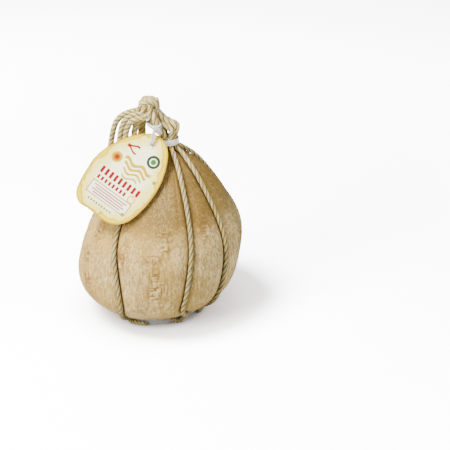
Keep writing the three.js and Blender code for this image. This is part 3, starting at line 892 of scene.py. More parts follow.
def rind_material(settings):
    material, tree, shader = new_material("dry_rind")
    where = place(tree)
    x, _, z = parts_of(tree, where)
    taper = between(tree, z, *TAPER_HEIGHTS)
    broad = spots(tree, where, 16.0, 3.0, 0.55)
    cloud = spots(tree, where, 55.0, 4.0, 0.62)
    mottle = spots(tree, where, 420.0, 3.0, 0.6, (1.0, 1.0, 0.22))
    grain = spots(tree, where, 1100.0, 3.0, 0.65, (1.0, 1.0, 0.3))
    streaks = spots(tree, where, 280.0, 2.0, 0.55, (1.0, 1.0, 0.16))
    rungs = spots(tree, where, 280.0, 1.0, 0.4, (0.42, 0.42, 1.35))
    tone = total(tree, product(tree, cloud, 0.20), product(tree, mottle, 0.40))
    tone = total(tree, tone, product(tree, grain, 0.40))
    tone = difference(tree, tone, product(tree, taper, 0.05))
    base = blend(tree, between(tree, tone, 0.41, 0.54), settings.deep, settings.colour)
    base = blend(tree, between(tree, tone, 0.47, 0.63), base, settings.pale)
    warm = tint(settings.colour, 0.92, 0.86, 0.55)
    base = blend(tree, between(tree, broad, 0.44, 0.70, 0.0, 0.45), base, warm)
    cool = tint(settings.pale, 0.88, 0.97, 1.25)
    bloom = product(tree, between(tree, broad, 0.68, 0.30), between(tree, grain, 0.44, 0.60, 0.0, 0.4))
    base = blend(tree, bloom, base, cool)
    # Painted light and shade: the neck is darker, partly browner rind and partly painted shade under the tag;
    # painted light warms the left side and brightens and cools the right side.
    left_painted_light_mask = between(tree, x, *LEFT_SIDE, 0.9, 0.0)
    right_painted_light_mask = between(tree, x, *RIGHT_SIDE)
    base = tinted(tree, base, taper, TAPER_STAIN_AND_SHADE)
    base = tinted(tree, base, left_painted_light_mask, LEFT_PAINTED_LIGHT)
    base = tinted(tree, base, right_painted_light_mask, RIGHT_PAINTED_LIGHT)
    strokes = calculate(tree, "MAXIMUM", between(tree, streaks, 0.51, 0.57), between(tree, rungs, 0.53, 0.58))
    marks = product(tree, attribute(tree, "mark_field"), strokes)
    base = blend(tree, product(tree, marks, 0.92), base, settings.mark)
    # Painted shade: the groove mask darkens the rind under and beside each rope.
    base = blend(tree, between(tree, attribute(tree, "groove"), 0.12, 1.0, 0.0, 0.95), base, settings.groove)
    rough = between(tree, cloud, 0.3, 0.7, 0.66, 0.86)
    relief = total(tree, product(tree, mottle, 0.7), product(tree, grain, 0.5))
    relief = difference(tree, relief, product(tree, marks, 0.35))
    finish_material(tree, shader, base, rough, relief, 0.8, 0.8 * MM)
    shader.inputs["Specular IOR Level"].default_value = 0.1
    return material


# Marks printed on the tag, in millimetres from its middle

INK_SOFTNESS = 0.25
RED = (0.21, 0.002, 0.006)
PINK = (0.25, 0.012, 0.018)
ORANGE = (0.36, 0.085, 0.0)
GOLD = (0.48, 0.29, 0.0)
PALE_GOLD = (0.62, 0.38, 0.01)
DARK_GREEN = (0.022, 0.04, 0.03)
LEAF_GREEN = (0.02, 0.14, 0.035)
GREY = (0.08, 0.09, 0.11)
OLIVE = (0.26, 0.21, 0.01)
BOX_PAPER = (0.90, 0.87, 0.62)


def from_middle(group, given):
    """How far a point of the tag lies to the right of a mark's middle and above it."""
    lay = parts_of(group, lay_map(group))
    return difference(group, lay[0], given["Right"]), difference(group, lay[1], given["Up"])


def ink(group, outside):
    return [between(group, outside, -INK_SOFTNESS, INK_SOFTNESS, 1.0, 0.0)]


def fill_round_mark(group, given):
    right, up = from_middle(group, given)
    squares = total(group, product(group, right, right), product(group, up, up))
    from_line = difference(group, calculate(group, "SQRT", squares), given["Radius"])
    return ink(group, difference(group, calculate(group, "ABSOLUTE", from_line), given["Line"]))


def fill_bar_mark(group, given):
    right, up = from_middle(group, given)
    wave = product(group, calculate(group, "SINE", product(group, right, 0.32)), given["Sway"])
    up = difference(group, up, wave)
    beyond = [difference(group, calculate(group, "ABSOLUTE", way), given[label])
              for way, label in ((right, "Wide"), (up, "High"))]
    return ink(group, calculate(group, "MAXIMUM", *beyond))


def round_mark(tree, base, colour, *values):
    """values are Right, Up, Radius and Line."""
    inputs = {"Right": 0.0, "Up": 0.0, "Radius": 5.0, "Line": 5.0}
    mark = place_group(tree, "Round Mark", inputs, ["Mask"], fill_round_mark, values)
    return blend(tree, mark[0], base, colour)


def bar_mark(tree, base, colour, *values):
    """values are Right, Up, Wide, High and, for a waved bar, Sway."""
    inputs = {"Right": 0.0, "Up": 0.0, "Wide": 5.0, "High": 1.0, "Sway": 0.0}
    mark = place_group(tree, "Bar Mark", inputs, ["Mask"], fill_bar_mark, values)
    return blend(tree, mark[0], base, colour)


def printed_shapes(tree, base):
    """Plain shapes in a layout of their own: waves, rounds, rows of studs and a ruled box."""
    waves = [(GOLD, 10.0, 22.5 - 5.6 * step, 18.0 - 2.6 * step, 1.9 - 0.3 * step, 2.1) for step in range(4)]
    crossing = [(RED, -7.0, 38.5, 7.0, 1.2, 1.8), (RED, -7.0, 33.5, 7.0, 1.0, -1.8)]
    rounds = [(DARK_GREEN, 21.0, 36.0, 6.0, 1.5), (LEAF_GREEN, 21.0, 36.0, 1.5, 1.5),
              (GOLD, -15.5, 18.0, 3.1, 3.1), (ORANGE, -15.5, 18.0, 1.9, 1.9), (RED, -15.5, 18.0, 1.0, 0.8)]
    studs = [(RED, -20.0 + 6.0 * step, -2.0, 1.7, 4.0) for step in range(9)]
    small_studs = [(RED, -19.0 + 5.0 * step, -10.8, 1.4, 2.4) for step in range(8)]
    box = [(RED, 4.0, -23.4, 26.0, 7.8), (BOX_PAPER, 4.0, -23.4, 25.1, 6.9)]
    rules = [(PINK, 4.0, -19.4 - 2.8 * step, 21.5 - 3.0 * (step % 2), 0.6) for step in range(4)]
    dots = [(GREY, -14.0 + 3.6 * step, -36.0, 0.9, 1.1) for step in range(9)]
    for bar in waves + crossing:
        base = bar_mark(tree, base, *bar)
    for ring in rounds:
        base = round_mark(tree, base, *ring)
    for bar in studs + small_studs + box + rules + dots:
        base = bar_mark(tree, base, *bar)
    return round_mark(tree, base, PALE_GOLD, 26.0, -11.5, 4.0, 0.8)


def tag_front_material(settings):
    material, tree, shader = new_material("printed_card")
    where = lay_map(tree)
    wander = spots(tree, where, 0.055, 2.0, 0.5)
    fine = spots(tree, where, 0.45, 3.0, 0.6)
    from_edge = attribute(tree, "from_edge")
    inset = difference(tree, from_edge, between(tree, wander, 0.35, 0.65, 1.6, 6.4))
    paper = blend(tree, between(tree, fine, 0.3, 0.7), shade(settings.card, 0.98), shade(settings.card, 1.02))
    red, green, blue = tint(settings.margin, 1.14, 1.24, 1.0)
    base = blend(tree, between(tree, inset, 0.0, 18.0, 1.0, 0.0), paper, (red, green, blue + 0.12))
    base = printed_shapes(tree, base)
    base = blend(tree, between(tree, inset, -0.5, 0.3, 1.0, 0.0), base, settings.margin)
    line = between(tree, calculate(tree, "ABSOLUTE", inset), 0.25, 0.95, 0.85, 0.0)
    line = product(tree, line, between(tree, fine, 0.2, 0.6, 0.45, 1.0))
    base = blend(tree, line, base, settings.line)
    base = blend(tree, between(tree, from_edge, 0.7, 2.3, 0.95, 0.0), base, shade(settings.line, 1.2))
    for right, up in ((35.5, 18.0), (27.5, -30.0)):
        base = round_mark(tree, base, OLIVE, right, up, 1.0, 1.0)
    rough = between(tree, fine, 0.3, 0.7, 0.6, 0.7)
    finish_material(tree, shader, base, rough, fine, 0.12, 0.1 * MM)
    shader.inputs["Specular IOR Level"].default_value = 0.05
    return material


def card_material(name, colour):
    material, tree, shader = new_material(name)
    fine = spots(tree, place(tree), 700.0, 3.0, 0.6)
    base = blend(tree, between(tree, fine, 0.3, 0.7), shade(colour, 0.94), shade(colour, 1.03))
    rough = between(tree, fine, 0.3, 0.7, 0.6, 0.8)
    finish_material(tree, shader, base, rough, fine, 0.2, 0.1 * MM)
    return material


# Operators

class PROVOLONE_OT_stage(bpy.types.Operator):
    """Add the camera, the pale floor and the soft lights"""
    bl_idname = "provolone.stage"
    bl_label = "Camera, Floor and Lights"

    def execute(self, context):
        settings = context.scene.provolone_stage
        camera = bpy.data.objects.new("camera", bpy.data.cameras.new("camera"))
        context.scene.collection.objects.link(camera)
        camera.data.sensor_width = CAMERA_SENSOR
        camera.data.lens = CAMERA_LENS
        lift = math.radians(CAMERA_ELEVATION)
        back = Vector((0, -math.cos(lift), math.sin(lift)))
        camera.location = (Vector(CAMERA_AIM) + back * CAMERA_DISTANCE) * MM
        camera.rotation_euler = (-back).to_track_quat("-Z", "Y").to_euler()
        context.scene.camera = camera
        self.floor(settings)
        for name, where, size, power in LAMPS:
            self.lamp(context, name, where, size, getattr(settings, power))
        world = bpy.data.worlds.new("white_room")
        context.scene.world = world
        world.use_nodes = True
        background = world.node_tree.nodes["Background"]
        background.inputs["Color"].default_value = (1.0, 0.995, 1.0, 1)
        background.inputs["Strength"].default_value = settings.sky
        return {"FINISHED"}

    def floor(self, settings):
        turns = [2 * math.pi * side / FLOOR_SIDES for side in range(FLOOR_SIDES)]
        points = [(radius / MM * math.cos(turn), radius / MM * math.sin(turn), 0)
                  for radius in FLOOR_RINGS for turn in turns]
        faces = grid_faces(len(FLOOR_RINGS), FLOOR_SIDES) + [tuple(range(FLOOR_SIDES))]
        shell = Shell()
        shell.add(points, faces, [(x, y) for x, y, _ in points])
        floor = shell.build("floor", self.floor_material(settings))
        floor.location.z = -FLOOR_DROP
        return floor

    def floor_material(self, settings):
        """The camera sees the floor brighter than the cheese does, with a painted shadow that dims it close to
        the disc.
        """
        material, tree, shader = new_material("pale_floor")
        worn = worn_surface(tree, 60.0)
        bounced = settings.floor_bounce
        colour = blend(tree, between(tree, worn["Grain"], 0.3, 0.7), shade(settings.floor, 0.995 * bounced),
                       shade(settings.floor, 1.005 * bounced))
        away = node(tree, "ShaderNodeVectorMath", {0: place(tree)}, operation="LENGTH").outputs["Value"]
        # Painted shadow: the glare drops near the disc, and drops again at its foot; far off it rises.
        foot_shadow = between(tree, away, *FOOT_SHADOW_AWAY, settings.foot_shadow_glare, 1.0)
        glare = product(tree, foot_shadow, between(tree, away, *FAR_AWAY, 1.0, FAR_GLARE))
        glare = product(tree, glare, between(tree, away, *CONTACT_SHADOW_AWAY, CONTACT_SHADOW_GLARE, 1.0))
        bright = dimmed(tree, [channel * settings.floor_glare for channel in settings.floor], glare)
        seen = node(tree, "ShaderNodeLightPath").outputs["Is Camera Ray"]
        colour = blend(tree, seen, colour, bright)
        rough = between(tree, worn["Scuff"], 0.0, 1.0, 0.72, 0.8)
        finish_material(tree, shader, colour, rough, worn["Grain"], 0.02, 0.1 * MM)
        return material

    def lamp(self, context, name, where, size, power):
        lamp = bpy.data.objects.new(name, bpy.data.lights.new(name, "AREA"))
        context.scene.collection.objects.link(lamp)
        lamp.data.energy = power
        lamp.data.size = size
        lamp.location = where
        lamp.rotation_euler = (Vector(LAMP_AIM) - lamp.location).to_track_quat("-Z", "Y").to_euler()


class PROVOLONE_OT_tails(bpy.types.Operator):
    """Add the six rope ends that hang from the knot"""
    bl_idname = "provolone.tails"
    bl_label = "Hanging Rope Ends"

    def execute(self, context):
        settings = context.scene.provolone_rope
        draw = random.Random(TAIL_SEED)
        pale = rope_material("rope_tail_pale", shade(settings.colour, PALE_TAIL_SHADE), settings.hollow_shade)
        brown_hollow = shade(settings.hollow_shade, BROWN_TAIL_HOLLOW_SHADE)
        brown = rope_material("rope_tail_brown", settings.tail, brown_hollow)
        for index, route in enumerate(TAIL_ROUTES):
            shell = Shell()
            centres = curve_through(route, TAIL_STEP)
            turns = even_turns(centres, settings.pitch * TAIL_LAY / MM) + TAIL_TURN_APART * index
            add_rope(shell, centres, TAIL_RADIUS, settings.strands, turns, TAIL_FIBRES, draw)
            piece = shell.build(f"twisted_tail_{index + 1}", pale if index < PALE_TAILS else brown)
            dressed(piece, "rope", f"rope_tail_{index + 1}")
        return {"FINISHED"}


class PROVOLONE_OT_rind(bpy.types.Operator):
    """Add the cheese's rind, with the grooves that its ropes press in"""
    bl_idname = "provolone.rind"
    bl_label = "Rind"

    def execute(self, context):
        settings = context.scene.provolone_rind
        level = (1 - np.cos(math.pi * (np.arange(RIND_ROWS) + 0.35) / RIND_ROWS)) / 2
        heights = np.concatenate([[CHEESE_BOTTOM], CHEESE_BOTTOM + (TIP_TOP - CHEESE_BOTTOM) * level])
        angles = np.vstack([rope_angle(rope, heights) for rope in range(ROPES)]).T
        angles = np.column_stack([angles, angles[:, 0] + 2 * math.pi])
        start = np.repeat(angles[:, :ROPES], RIND_COLUMNS_PER_LOBE, axis=1)
        end = np.repeat(angles[:, 1:], RIND_COLUMNS_PER_LOBE, axis=1)
        share = np.tile(np.linspace(0, 1, RIND_COLUMNS_PER_LOBE, endpoint=False), ROPES)[None]
        turn = start + (end - start) * share
        count = turn.shape[1]
        high = np.repeat(heights[:, None], count, axis=1)
        crest = np.maximum(crest_radius(heights), 0)[:, None]
        width = np.maximum(crest, 1) * (end - start)
        beside = width / math.pi * np.sin(math.pi * share)
        radius = self.pressed_radius(turn, high, beside, settings.bank / MM)
        x = lean_x(heights)[:, None] + radius * np.sin(turn)
        y = -radius * np.cos(turn)
        points = np.stack([x, y, high], axis=-1).reshape(-1, 3)
        points = self.with_relief(points, radius.ravel(), turn.ravel(), beside.ravel())
        foot, last = len(points), (len(heights) - 1) * count
        ends = [[lean_x(CHEESE_BOTTOM), 0, CHEESE_BOTTOM], [lean_x(TIP_TOP), 0, TIP_TOP - 0.2]]
        points = np.vstack([points, ends])
        uvs = np.column_stack([turn.ravel(), high.ravel() / 100])
        faces = grid_faces(len(heights), count)
        faces += [(foot, (column + 1) % count, column) for column in range(count)]
        faces += [(foot + 1, last + column, last + (column + 1) % count) for column in range(count)]
        shell = Shell()
        shell.add(points, faces, np.vstack([uvs, [[0, 0], [0, 2]]]))
        piece = shell.build("cheese_rind", rind_material(settings))
        add_mask(piece, "groove", np.append(self.painted_groove_shade(beside.ravel()), [0, 0]))
        add_mask(piece, "mark_field", self.mark_field(points))
        dressed(piece, "rind", "cheese")
        return {"FINISHED"}

    def pressed_radius(self, turn, height, beside, bank):
        """The rind lies close under each rope and rises in a bank beside it."""
        depth = lobe_depth(height)
        wide = np.maximum(depth - RIND_OVER_GROOVE - bank, 0) * np.exp(-(beside / GROOVE_HALF_WIDTH) ** 2)
        narrow = np.minimum(bank, depth * 0.5) * np.exp(-(beside / BANK_HALF_WIDTH) ** 4)
        from_flat = (np.degrees(turn) - FLAT_SIDE["turn"]) / FLAT_SIDE["wide"]
        flat_side = FLAT_SIDE["deep"] * np.exp(-(from_flat ** 2))
        crest = crest_radius(height) + unevenness(turn, height)
        return np.maximum(crest - wide - narrow - flat_side - RIND_INSET, 0)

    def with_relief(self, points, radius, turn, beside):
        outward = np.column_stack([np.sin(turn), -np.cos(turn), np.zeros(len(turn))])
        free = np.clip(beside / 6, 0, 1) * np.clip(radius / 20, 0, 1)
        pull = smooth_step(points[:, 2], PLEATS_START, PLEATS_FULL)
        folds = np.maximum(0, np.cos(turn * PLEATS_ROUND + 1.7 * np.sin(turn * 5)))
        pleats = -PLEAT_DEPTH * pull * folds ** 3 * free
        dents = self.noise_at(points, 0.03, 0.022)
        grain = self.noise_at(points, 0.5, 0.09)
        shift = pleats + free * (DENT_DEPTH * (dents - 0.45) + GRAIN_DEPTH * (grain - 0.4))
        return points + outward * shift[:, None]

    def noise_at(self, points, level, upright):
        return np.array([noise.noise(Vector((x * level, y * level, z * upright))) for x, y, z in points])

    def painted_groove_shade(self, beside):
        """Painted shade: dark under a rope, and a paler painted shade further out."""
        dark = np.exp(-(beside / GROOVE_DARK_WIDTH) ** 2)
        return np.maximum(dark, GROOVE_SHADE * np.exp(-(beside / GROOVE_SHADE_WIDTH) ** 2))

    def mark_field(self, points):
        """Where flecks gather: soft patches round the belly, at fixed places."""
        angle = np.degrees(np.arctan2(points[:, 0] - lean_x(points[:, 2]), -points[:, 1]))
        field = np.zeros(len(points))
        for turn, height, wide, high in FLECK_PATCHES:
            apart = (angle - turn + 180) % 360 - 180
            spread = (apart / wide) ** 2 + ((points[:, 2] - height) / high) ** 2
            field = np.maximum(field, np.exp(-spread ** 1.5))
        return field


class PROVOLONE_OT_harness(bpy.types.Operator):
    """Add the eight twisted ropes of the harness"""
    bl_idname = "provolone.harness"
    bl_label = "Harness Ropes"

    def execute(self, context):
        settings = context.scene.provolone_rope
        draw = random.Random(HARNESS_SEED)
        material = rope_material("rope_harness", settings.colour, settings.hollow_shade, settings.low_shade)
        pitch = settings.pitch / MM
        for rope in range(ROPES):
            shell = Shell()
            centres = curve_through(harness_route(rope), HARNESS_STEP)
            along = even_turns(centres, 1)
            tight = 1 - smooth_step(along, *RIM_LAY_END)
            per_mm = 1 / pitch + tight * (1 / RIM_LAY - 1 / pitch)
            turns = np.cumsum(np.gradient(along) * per_mm) + HARNESS_TURN_APART * rope
            swell = 1 + LOOSE_SWELL * smooth_step(centres[:, 2], CLIP_BOTTOM + CLIP_HEIGHT + 2, LOOSE_HEIGHT)
            add_rope(shell, centres, ROPE_RADIUS, settings.strands, turns, HARNESS_FIBRES, draw, swell=swell)
            piece = shell.build(f"twisted_rope_{rope + 1}", material)
            dressed(piece, "rope", f"harness_rope_{rope + 1}")
        return {"FINISHED"}


class PROVOLONE_OT_rope_ends(bpy.types.Operator):
    """Add the frayed cut ends of the harness ropes at the disc's rim"""
    bl_idname = "provolone.rope_ends"
    bl_label = "Frayed Rope Ends"

    def execute(self, context):
        settings = context.scene.provolone_rope
        draw = random.Random(FRAY_SEED)
        material = rope_material("rope_cut_end", tint(settings.colour, 1.0, 0.84, 0.5), settings.hollow_shade)
        shell = Shell()
        for rope in range(ROPES):
            first, second = rim_turn(rope)[:2]
            outward = (first - second) / np.linalg.norm(first - second)
            for _ in range(BRISTLES_PER_END):
                self.bristle(shell, first, outward, draw)
        dressed(shell.build("frayed_rope_ends", material), "rope")
        return {"FINISHED"}

    def bristle(self, shell, end, outward, draw):
        side = np.cross(outward, (0, 0, 1))
        side /= np.linalg.norm(side)
        up = np.cross(side, outward)
        turn = draw.uniform(0, 2 * math.pi)
        reach = math.sqrt(draw.random()) * 2.0
        away = math.cos(turn) * side + math.sin(turn) * up
        length = draw.uniform(1.2, 2.6)
        flare = draw.uniform(0.05, 0.35)
        line = [end - outward * 1.5 + away * reach, end + outward * length * 0.5 + away * (reach + flare * 0.4),
                end + outward * length + away * (reach + flare)]
        centres = curve_through(line, 0.5)
        centres[:, 2] += max(0, 0.5 - np.min(centres[:, 2]))
        add_strands(shell, centres, draw.uniform(0.28, 0.42), 2, even_turns(centres, 5), BRISTLE_SIDES)


class PROVOLONE_OT_knot(bpy.types.Operator):
    """Add the knot that gathers the ropes"""
    bl_idname = "provolone.knot"
    bl_label = "Knot"

    def execute(self, context):
        settings = context.scene.provolone_rope
        draw = random.Random(KNOT_SEED)
        strands = settings.strands
        material = rope_material("rope_knot", settings.colour, settings.hollow_shade)
        # Painted shade: the knot's core, which shows in the gaps between the wraps, is drawn darker than the
        # hollow colour.
        dark = rope_material("rope_knot_inside", settings.hollow_shade, shade(settings.hollow_shade, 0.7))
        shell = Shell()
        shell.slot = 1
        self.add_core(shell)
        shell.slot = 0
        centre = np.array(KNOT_CENTRE, float)
        for wrap in KNOT_WRAPS:
            centres = self.wrap_line(wrap) + centre
            turns = np.linspace(0, max(2, round(2 * math.pi * wrap["reach"] / KNOT_LAY)), len(centres))
            add_rope(shell, centres, KNOT_WRAP_RADIUS, strands, turns, KNOT_FIBRES, draw)
        for route in KNOT_ARCHES:
            arch = curve_through(np.array(route) + centre, KNOT_STEP)
            add_rope(shell, arch, KNOT_ARCH_RADIUS, strands, even_turns(arch, KNOT_LAY), KNOT_FIBRES, draw)
        for route in KNOT_BRIDGES:
            bridge = curve_through(np.array(route) + centre, KNOT_STEP)
            add_strands(shell, bridge, KNOT_BRIDGE_RADIUS, strands, even_turns(bridge, KNOT_BRIDGE_LAY))
        for index, route in enumerate(TAIL_ROUTES):
            start, onward = np.array(route[0], float), np.array(route[1], float)
            inward = centre + (0, 0.5 * (start[1] - centre[1]), -4.5)
            middle = 0.5 * (inward + start) + (0, 0, 0.8)
            stub = curve_through([inward, middle, start, start + 0.08 * (onward - start)], 0.9)
            turns = even_turns(stub, KNOT_STUB_LAY) + TAIL_TURN_APART * index
            add_strands(shell, stub, KNOT_STUB_RADIUS, strands, turns)
        dressed(shell.build("rope_knot", material, dark), "rope", "knot")
        return {"FINISHED"}

    def wrap_line(self, wrap):
        turn = np.linspace(0, 2 * math.pi, KNOT_WRAP_POINTS)
        wave = KNOT_WRAP_WAVE * np.sin(3 * turn)
        loop = np.column_stack([np.cos(turn), np.sin(turn) * wrap["narrow"], wave])
        return loop * wrap["reach"] @ turned_by(wrap["tilt"]).T + np.array(wrap["place"])

    def add_core(self, shell):
        rows, columns = 24, 40
        lat = np.linspace(0.02, math.pi - 0.02, rows)
        lon = np.linspace(0, 2 * math.pi, columns, endpoint=False)
        points, uvs = [], []
        for a in lat:
            for b in lon:
                way = np.array([math.sin(a) * math.cos(b), math.sin(a) * math.sin(b), math.cos(a)])
                lump = 1 + 0.10 * noise.noise(Vector(way * 2.4))
                points.append(np.array(KNOT_CENTRE) + way * np.array(KNOT_CORE) * lump)
                uvs.append((b, a * 2))
        faces = [tuple(reversed(face)) for face in grid_faces(rows, columns)]
        faces += [tuple(range(columns)), tuple(reversed(range((rows - 1) * columns, rows * columns)))]
        shell.add(points, faces, uvs)


class PROVOLONE_OT_plastic_parts(bpy.types.Operator):
    """Add the neck clip and the base disc"""
    bl_idname = "provolone.plastic_parts"
    bl_label = "Clip and Disc"

    def execute(self, context):
        settings = context.scene.provolone_plastic
        clip_plastic = plastic_material("clip_plastic", settings.colour, settings.roughness, 0.35)
        # Painted shade: the disc is the clip's white plastic darkened by the disc shade.
        painted_shade_disc_colour = shade(settings.colour, settings.disc_shade)
        disc_plastic = plastic_material("disc_plastic", painted_shade_disc_colour, settings.roughness, 0.1)
        outer = CLIP_INNER + CLIP_WALL
        clip = self.rounded([(CLIP_INNER, 0.1), (outer - CLIP_BULGE, 0), (outer, CLIP_HEIGHT / 2),
                             (outer - CLIP_BULGE, CLIP_HEIGHT), (CLIP_INNER, CLIP_HEIGHT - 0.1)], CLIP_ROUNDING)
        where = (NECK_X, 0, CLIP_BOTTOM)
        piece = self.turned("neck_band", clip, CLIP_SIDES, clip_plastic, where, closed=True, wave=CLIP_WAVE)
        dressed(piece, "white_plastic", "neck_clip")
        rim, top = DISC_RADIUS, DISC_HEIGHT
        disc = self.rounded([(0.01, 0.05), (rim - 0.8, 0.05), (rim - 0.02, 0.9), (rim - 0.02, top - 1.2),
                             (rim - 1.2, top - 0.05), (rim - 5, top - 0.05), (rim - 6, top - 0.9),
                             (0.01, top - 0.9)], DISC_ROUNDING)
        piece = self.turned("foot_disc", disc, DISC_SIDES, disc_plastic, (0, 0, 0))
        dressed(piece, "white_plastic", "base_disc")
        return {"FINISHED"}

    def rounded(self, profile, radius):
        """Replaces each inner corner of a profile by a short curve."""
        points = [profile[0]]
        for before, corner, after in zip(profile, profile[1:], profile[2:]):
            before, corner, after = (np.array(p, float) for p in (before, corner, after))
            cut_in = min(radius, np.linalg.norm(before - corner) / 2.1)
            cut_out = min(radius, np.linalg.norm(after - corner) / 2.1)
            first = corner + (before - corner) / np.linalg.norm(before - corner) * cut_in
            last = corner + (after - corner) / np.linalg.norm(after - corner) * cut_out
            for share in (0.0, 0.25, 0.5, 0.75, 1.0):
                left = 1 - share
                points.append(tuple(left ** 2 * first + 2 * share * left * corner + share * share * last))
        points.append(profile[-1])
        return points

    def turned(self, name, profile, sides, material, where, closed=False, wave=0.0):
        """Turns a profile round the upright line through a place, a little out of round by the wave."""
        points, uvs = [], []
        for index, (radius, height) in enumerate(profile):
            for side in range(sides):
                angle = 2 * math.pi * side / sides
                away = radius + wave * math.sin(2 * angle + 0.6) * (0.5 + 0.5 * math.sin(3 * angle))
                points.append((where[0] + away * math.cos(angle), where[1] + away * math.sin(angle),
                               where[2] + height))
                uvs.append((side / sides, index))
        faces = grid_faces(len(profile), sides)
        last = (len(profile) - 1) * sides
        if closed:
            beside = [(side + 1) % sides for side in range(sides)]
            faces += [(last + side, last + beside[side], beside[side], side) for side in range(sides)]
        else:
            faces += [tuple(reversed(range(sides))), tuple(last + side for side in range(sides))]
        shell = Shell()
        shell.add(points, faces, uvs)
        return shell.build(name, material)


class PROVOLONE_OT_tag(bpy.types.Operator):
    """Add the card tag with its simple printed shapes"""
    bl_idname = "provolone.tag"
    bl_label = "Tag"

    def execute(self, context):
        settings = context.scene.provolone_tag
        outline = self.outline(TAG_OUTLINE_POINTS)
        hole = [np.array(TAG_HOLE) + TAG_HOLE_RADIUS * np.array([math.cos(a), math.sin(a)])
                for a in np.linspace(0, 2 * math.pi, TAG_HOLE_POINTS, endpoint=False)]
        flat, faces = self.triangles(outline, hole)
        across, along = ((flat[:, axis] - TAG_BOW_MIDDLE[axis]) / TAG_BOW_REACH[axis] for axis in range(2))
        bow = settings.bow / MM * (across ** 2 - 0.5 * along ** 2)
        pull = np.hypot(flat[:, 0] - TAG_HOLE[0], flat[:, 1] - TAG_HOLE[1])
        bow *= np.clip(pull / TAG_FLAT_NEAR_HOLE, 0, 1)
        local = np.column_stack([flat - np.array(TAG_HOLE), bow])
        turn = (Matrix.Rotation(math.radians(TAG_YAW), 3, "Z") @ Matrix.Rotation(math.radians(TAG_LEAN), 3, "X")
                @ Matrix.Rotation(math.radians(TAG_ROLL), 3, "Z"))
        shell = Shell()
        shell.add(local @ np.array(turn).T + np.array(TAG_HOLE_PLACE), faces, flat)
        front = tag_front_material(settings)
        back = card_material("plain_card", shade(settings.card, 0.98))
        rim = card_material("card_edge", shade(settings.margin, 0.9))
        piece = shell.build("card_tag", front, back, rim, flat=True)
        add_mask(piece, "from_edge", self.edge_distance(flat, outline))
        thick = piece.modifiers.new("thickness", "SOLIDIFY")
        thick.thickness = TAG_THICKNESS * MM
        thick.offset = 0
        thick.material_offset = 1
        thick.material_offset_rim = 2
        dressed(piece, "card", "tag")
        return {"FINISHED"}

    def outline(self, count):
        points = [(x, y, 0) for x, y in TAG_OUTLINE]
        line = curve_through(points, 1.0, closed=True)
        share = np.linspace(0, len(line) - 1, count, endpoint=False)
        return np.column_stack([np.interp(share, np.arange(len(line)), line[:, axis]) for axis in range(2)])

    def triangles(self, outline, hole):
        """Fills the card between its outline and its hole."""
        rights, ups = (np.arange(side.min(), side.max(), TAG_GRID) for side in outline.T)
        inside = [np.array([right, up]) for right in rights for up in ups]
        clear = [point for point in inside if self.within(point, outline) and
                 np.min(np.linalg.norm(outline - point, axis=1)) > TAG_EDGE_GAP and
                 np.linalg.norm(point - np.array(TAG_HOLE)) > TAG_HOLE_RADIUS + TAG_HOLE_GAP]
        given = list(outline) + list(hole) + clear
        rim = len(outline)
        edges = [(i, (i + 1) % rim) for i in range(rim)]
        edges += [(rim + i, rim + (i + 1) % len(hole)) for i in range(len(hole))]
        found = delaunay_2d_cdt([Vector(p) for p in given], edges, [], 1, 1e-5)
        flat = np.array([tuple(point) for point in found[0]])
        return flat, [tuple(face) for face in found[2]
                      if np.linalg.norm(flat[list(face)].mean(axis=0) - TAG_HOLE) > TAG_HOLE_RADIUS * 0.97]

    def within(self, point, outline):
        after = np.roll(outline, -1, axis=0)
        spans = (outline[:, 1] > point[1]) != (after[:, 1] > point[1])
        rise = after[:, 1] - outline[:, 1]
        rise = np.where(np.abs(rise) < 1e-9, 1e-9, rise)
        crossing = outline[:, 0] + (point[1] - outline[:, 1]) * (after[:, 0] - outline[:, 0]) / rise
        return np.count_nonzero(spans & (point[0] < crossing)) % 2 == 1

    def edge_distance(self, flat, outline):
        after = np.roll(outline, -1, axis=0)
        along = after - outline
        length = np.sum(along ** 2, axis=1)
        reach = np.clip(np.sum((flat[:, None] - outline[None]) * along[None], axis=2) / length, 0, 1)
        nearest = outline[None] + reach[:, :, None] * along[None]
        return np.min(np.linalg.norm(flat[:, None] - nearest, axis=2), axis=1)


class PROVOLONE_OT_tag_string(bpy.types.Operator):
    """Add the white string that holds the tag"""
    bl_idname = "provolone.tag_string"
    bl_label = "Tag String"

    def execute(self, context):
        settings = context.scene.provolone_string
        material = string_material("white_string", settings.colour)
        draw = random.Random(STRING_SEED)
        shell = Shell()
        pitch = settings.pitch / MM
        second_turn = np.array(STRING_LOOP) + STRING_SECOND_TURN
        lines = [(STRING_LOOP, STRING_RADIUS), (second_turn, STRING_RADIUS * 0.9)]
        lines += [(leg, STRING_LEG_RADIUS) for leg in STRING_LEGS]
        lines += [(end, STRING_RADIUS * 0.8) for end in STRING_LOOSE_ENDS]
        for route, radius in lines:
            centres = curve_through(route, STRING_STEP)
            add_rope(shell, centres, radius, 2, even_turns(centres, pitch), STRING_FIBRES, draw, STRING_SIDES)
        self.add_knots(shell, STRING_KNOTS)
        shell.slot = 1
        self.add_knots(shell, STRING_STOPS)
        # Painted shade: the stop knots at the tag's hole are the white string drawn grey.
        stop_knot_shade = string_material("string_stop", settings.stop)
        dressed(shell.build("tag_string_twisted", material, stop_knot_shade), "twine", "tag_string")
        return {"FINISHED"}

    def add_knots(self, shell, knots):
        turn = np.linspace(0, 2 * math.pi, 40)
        loop = np.column_stack([np.cos(turn), 0.8 * np.sin(turn), 0.16 * np.sin(2 * turn)])
        for middle, size in knots:
            for tilt in STRING_KNOT_TILTS:
                wound = size * loop @ turned_by(tilt).T + np.array(middle)
                add_strands(shell, wound, STRING_KNOT_RADIUS, 2, turn / math.pi, STRING_SIDES)


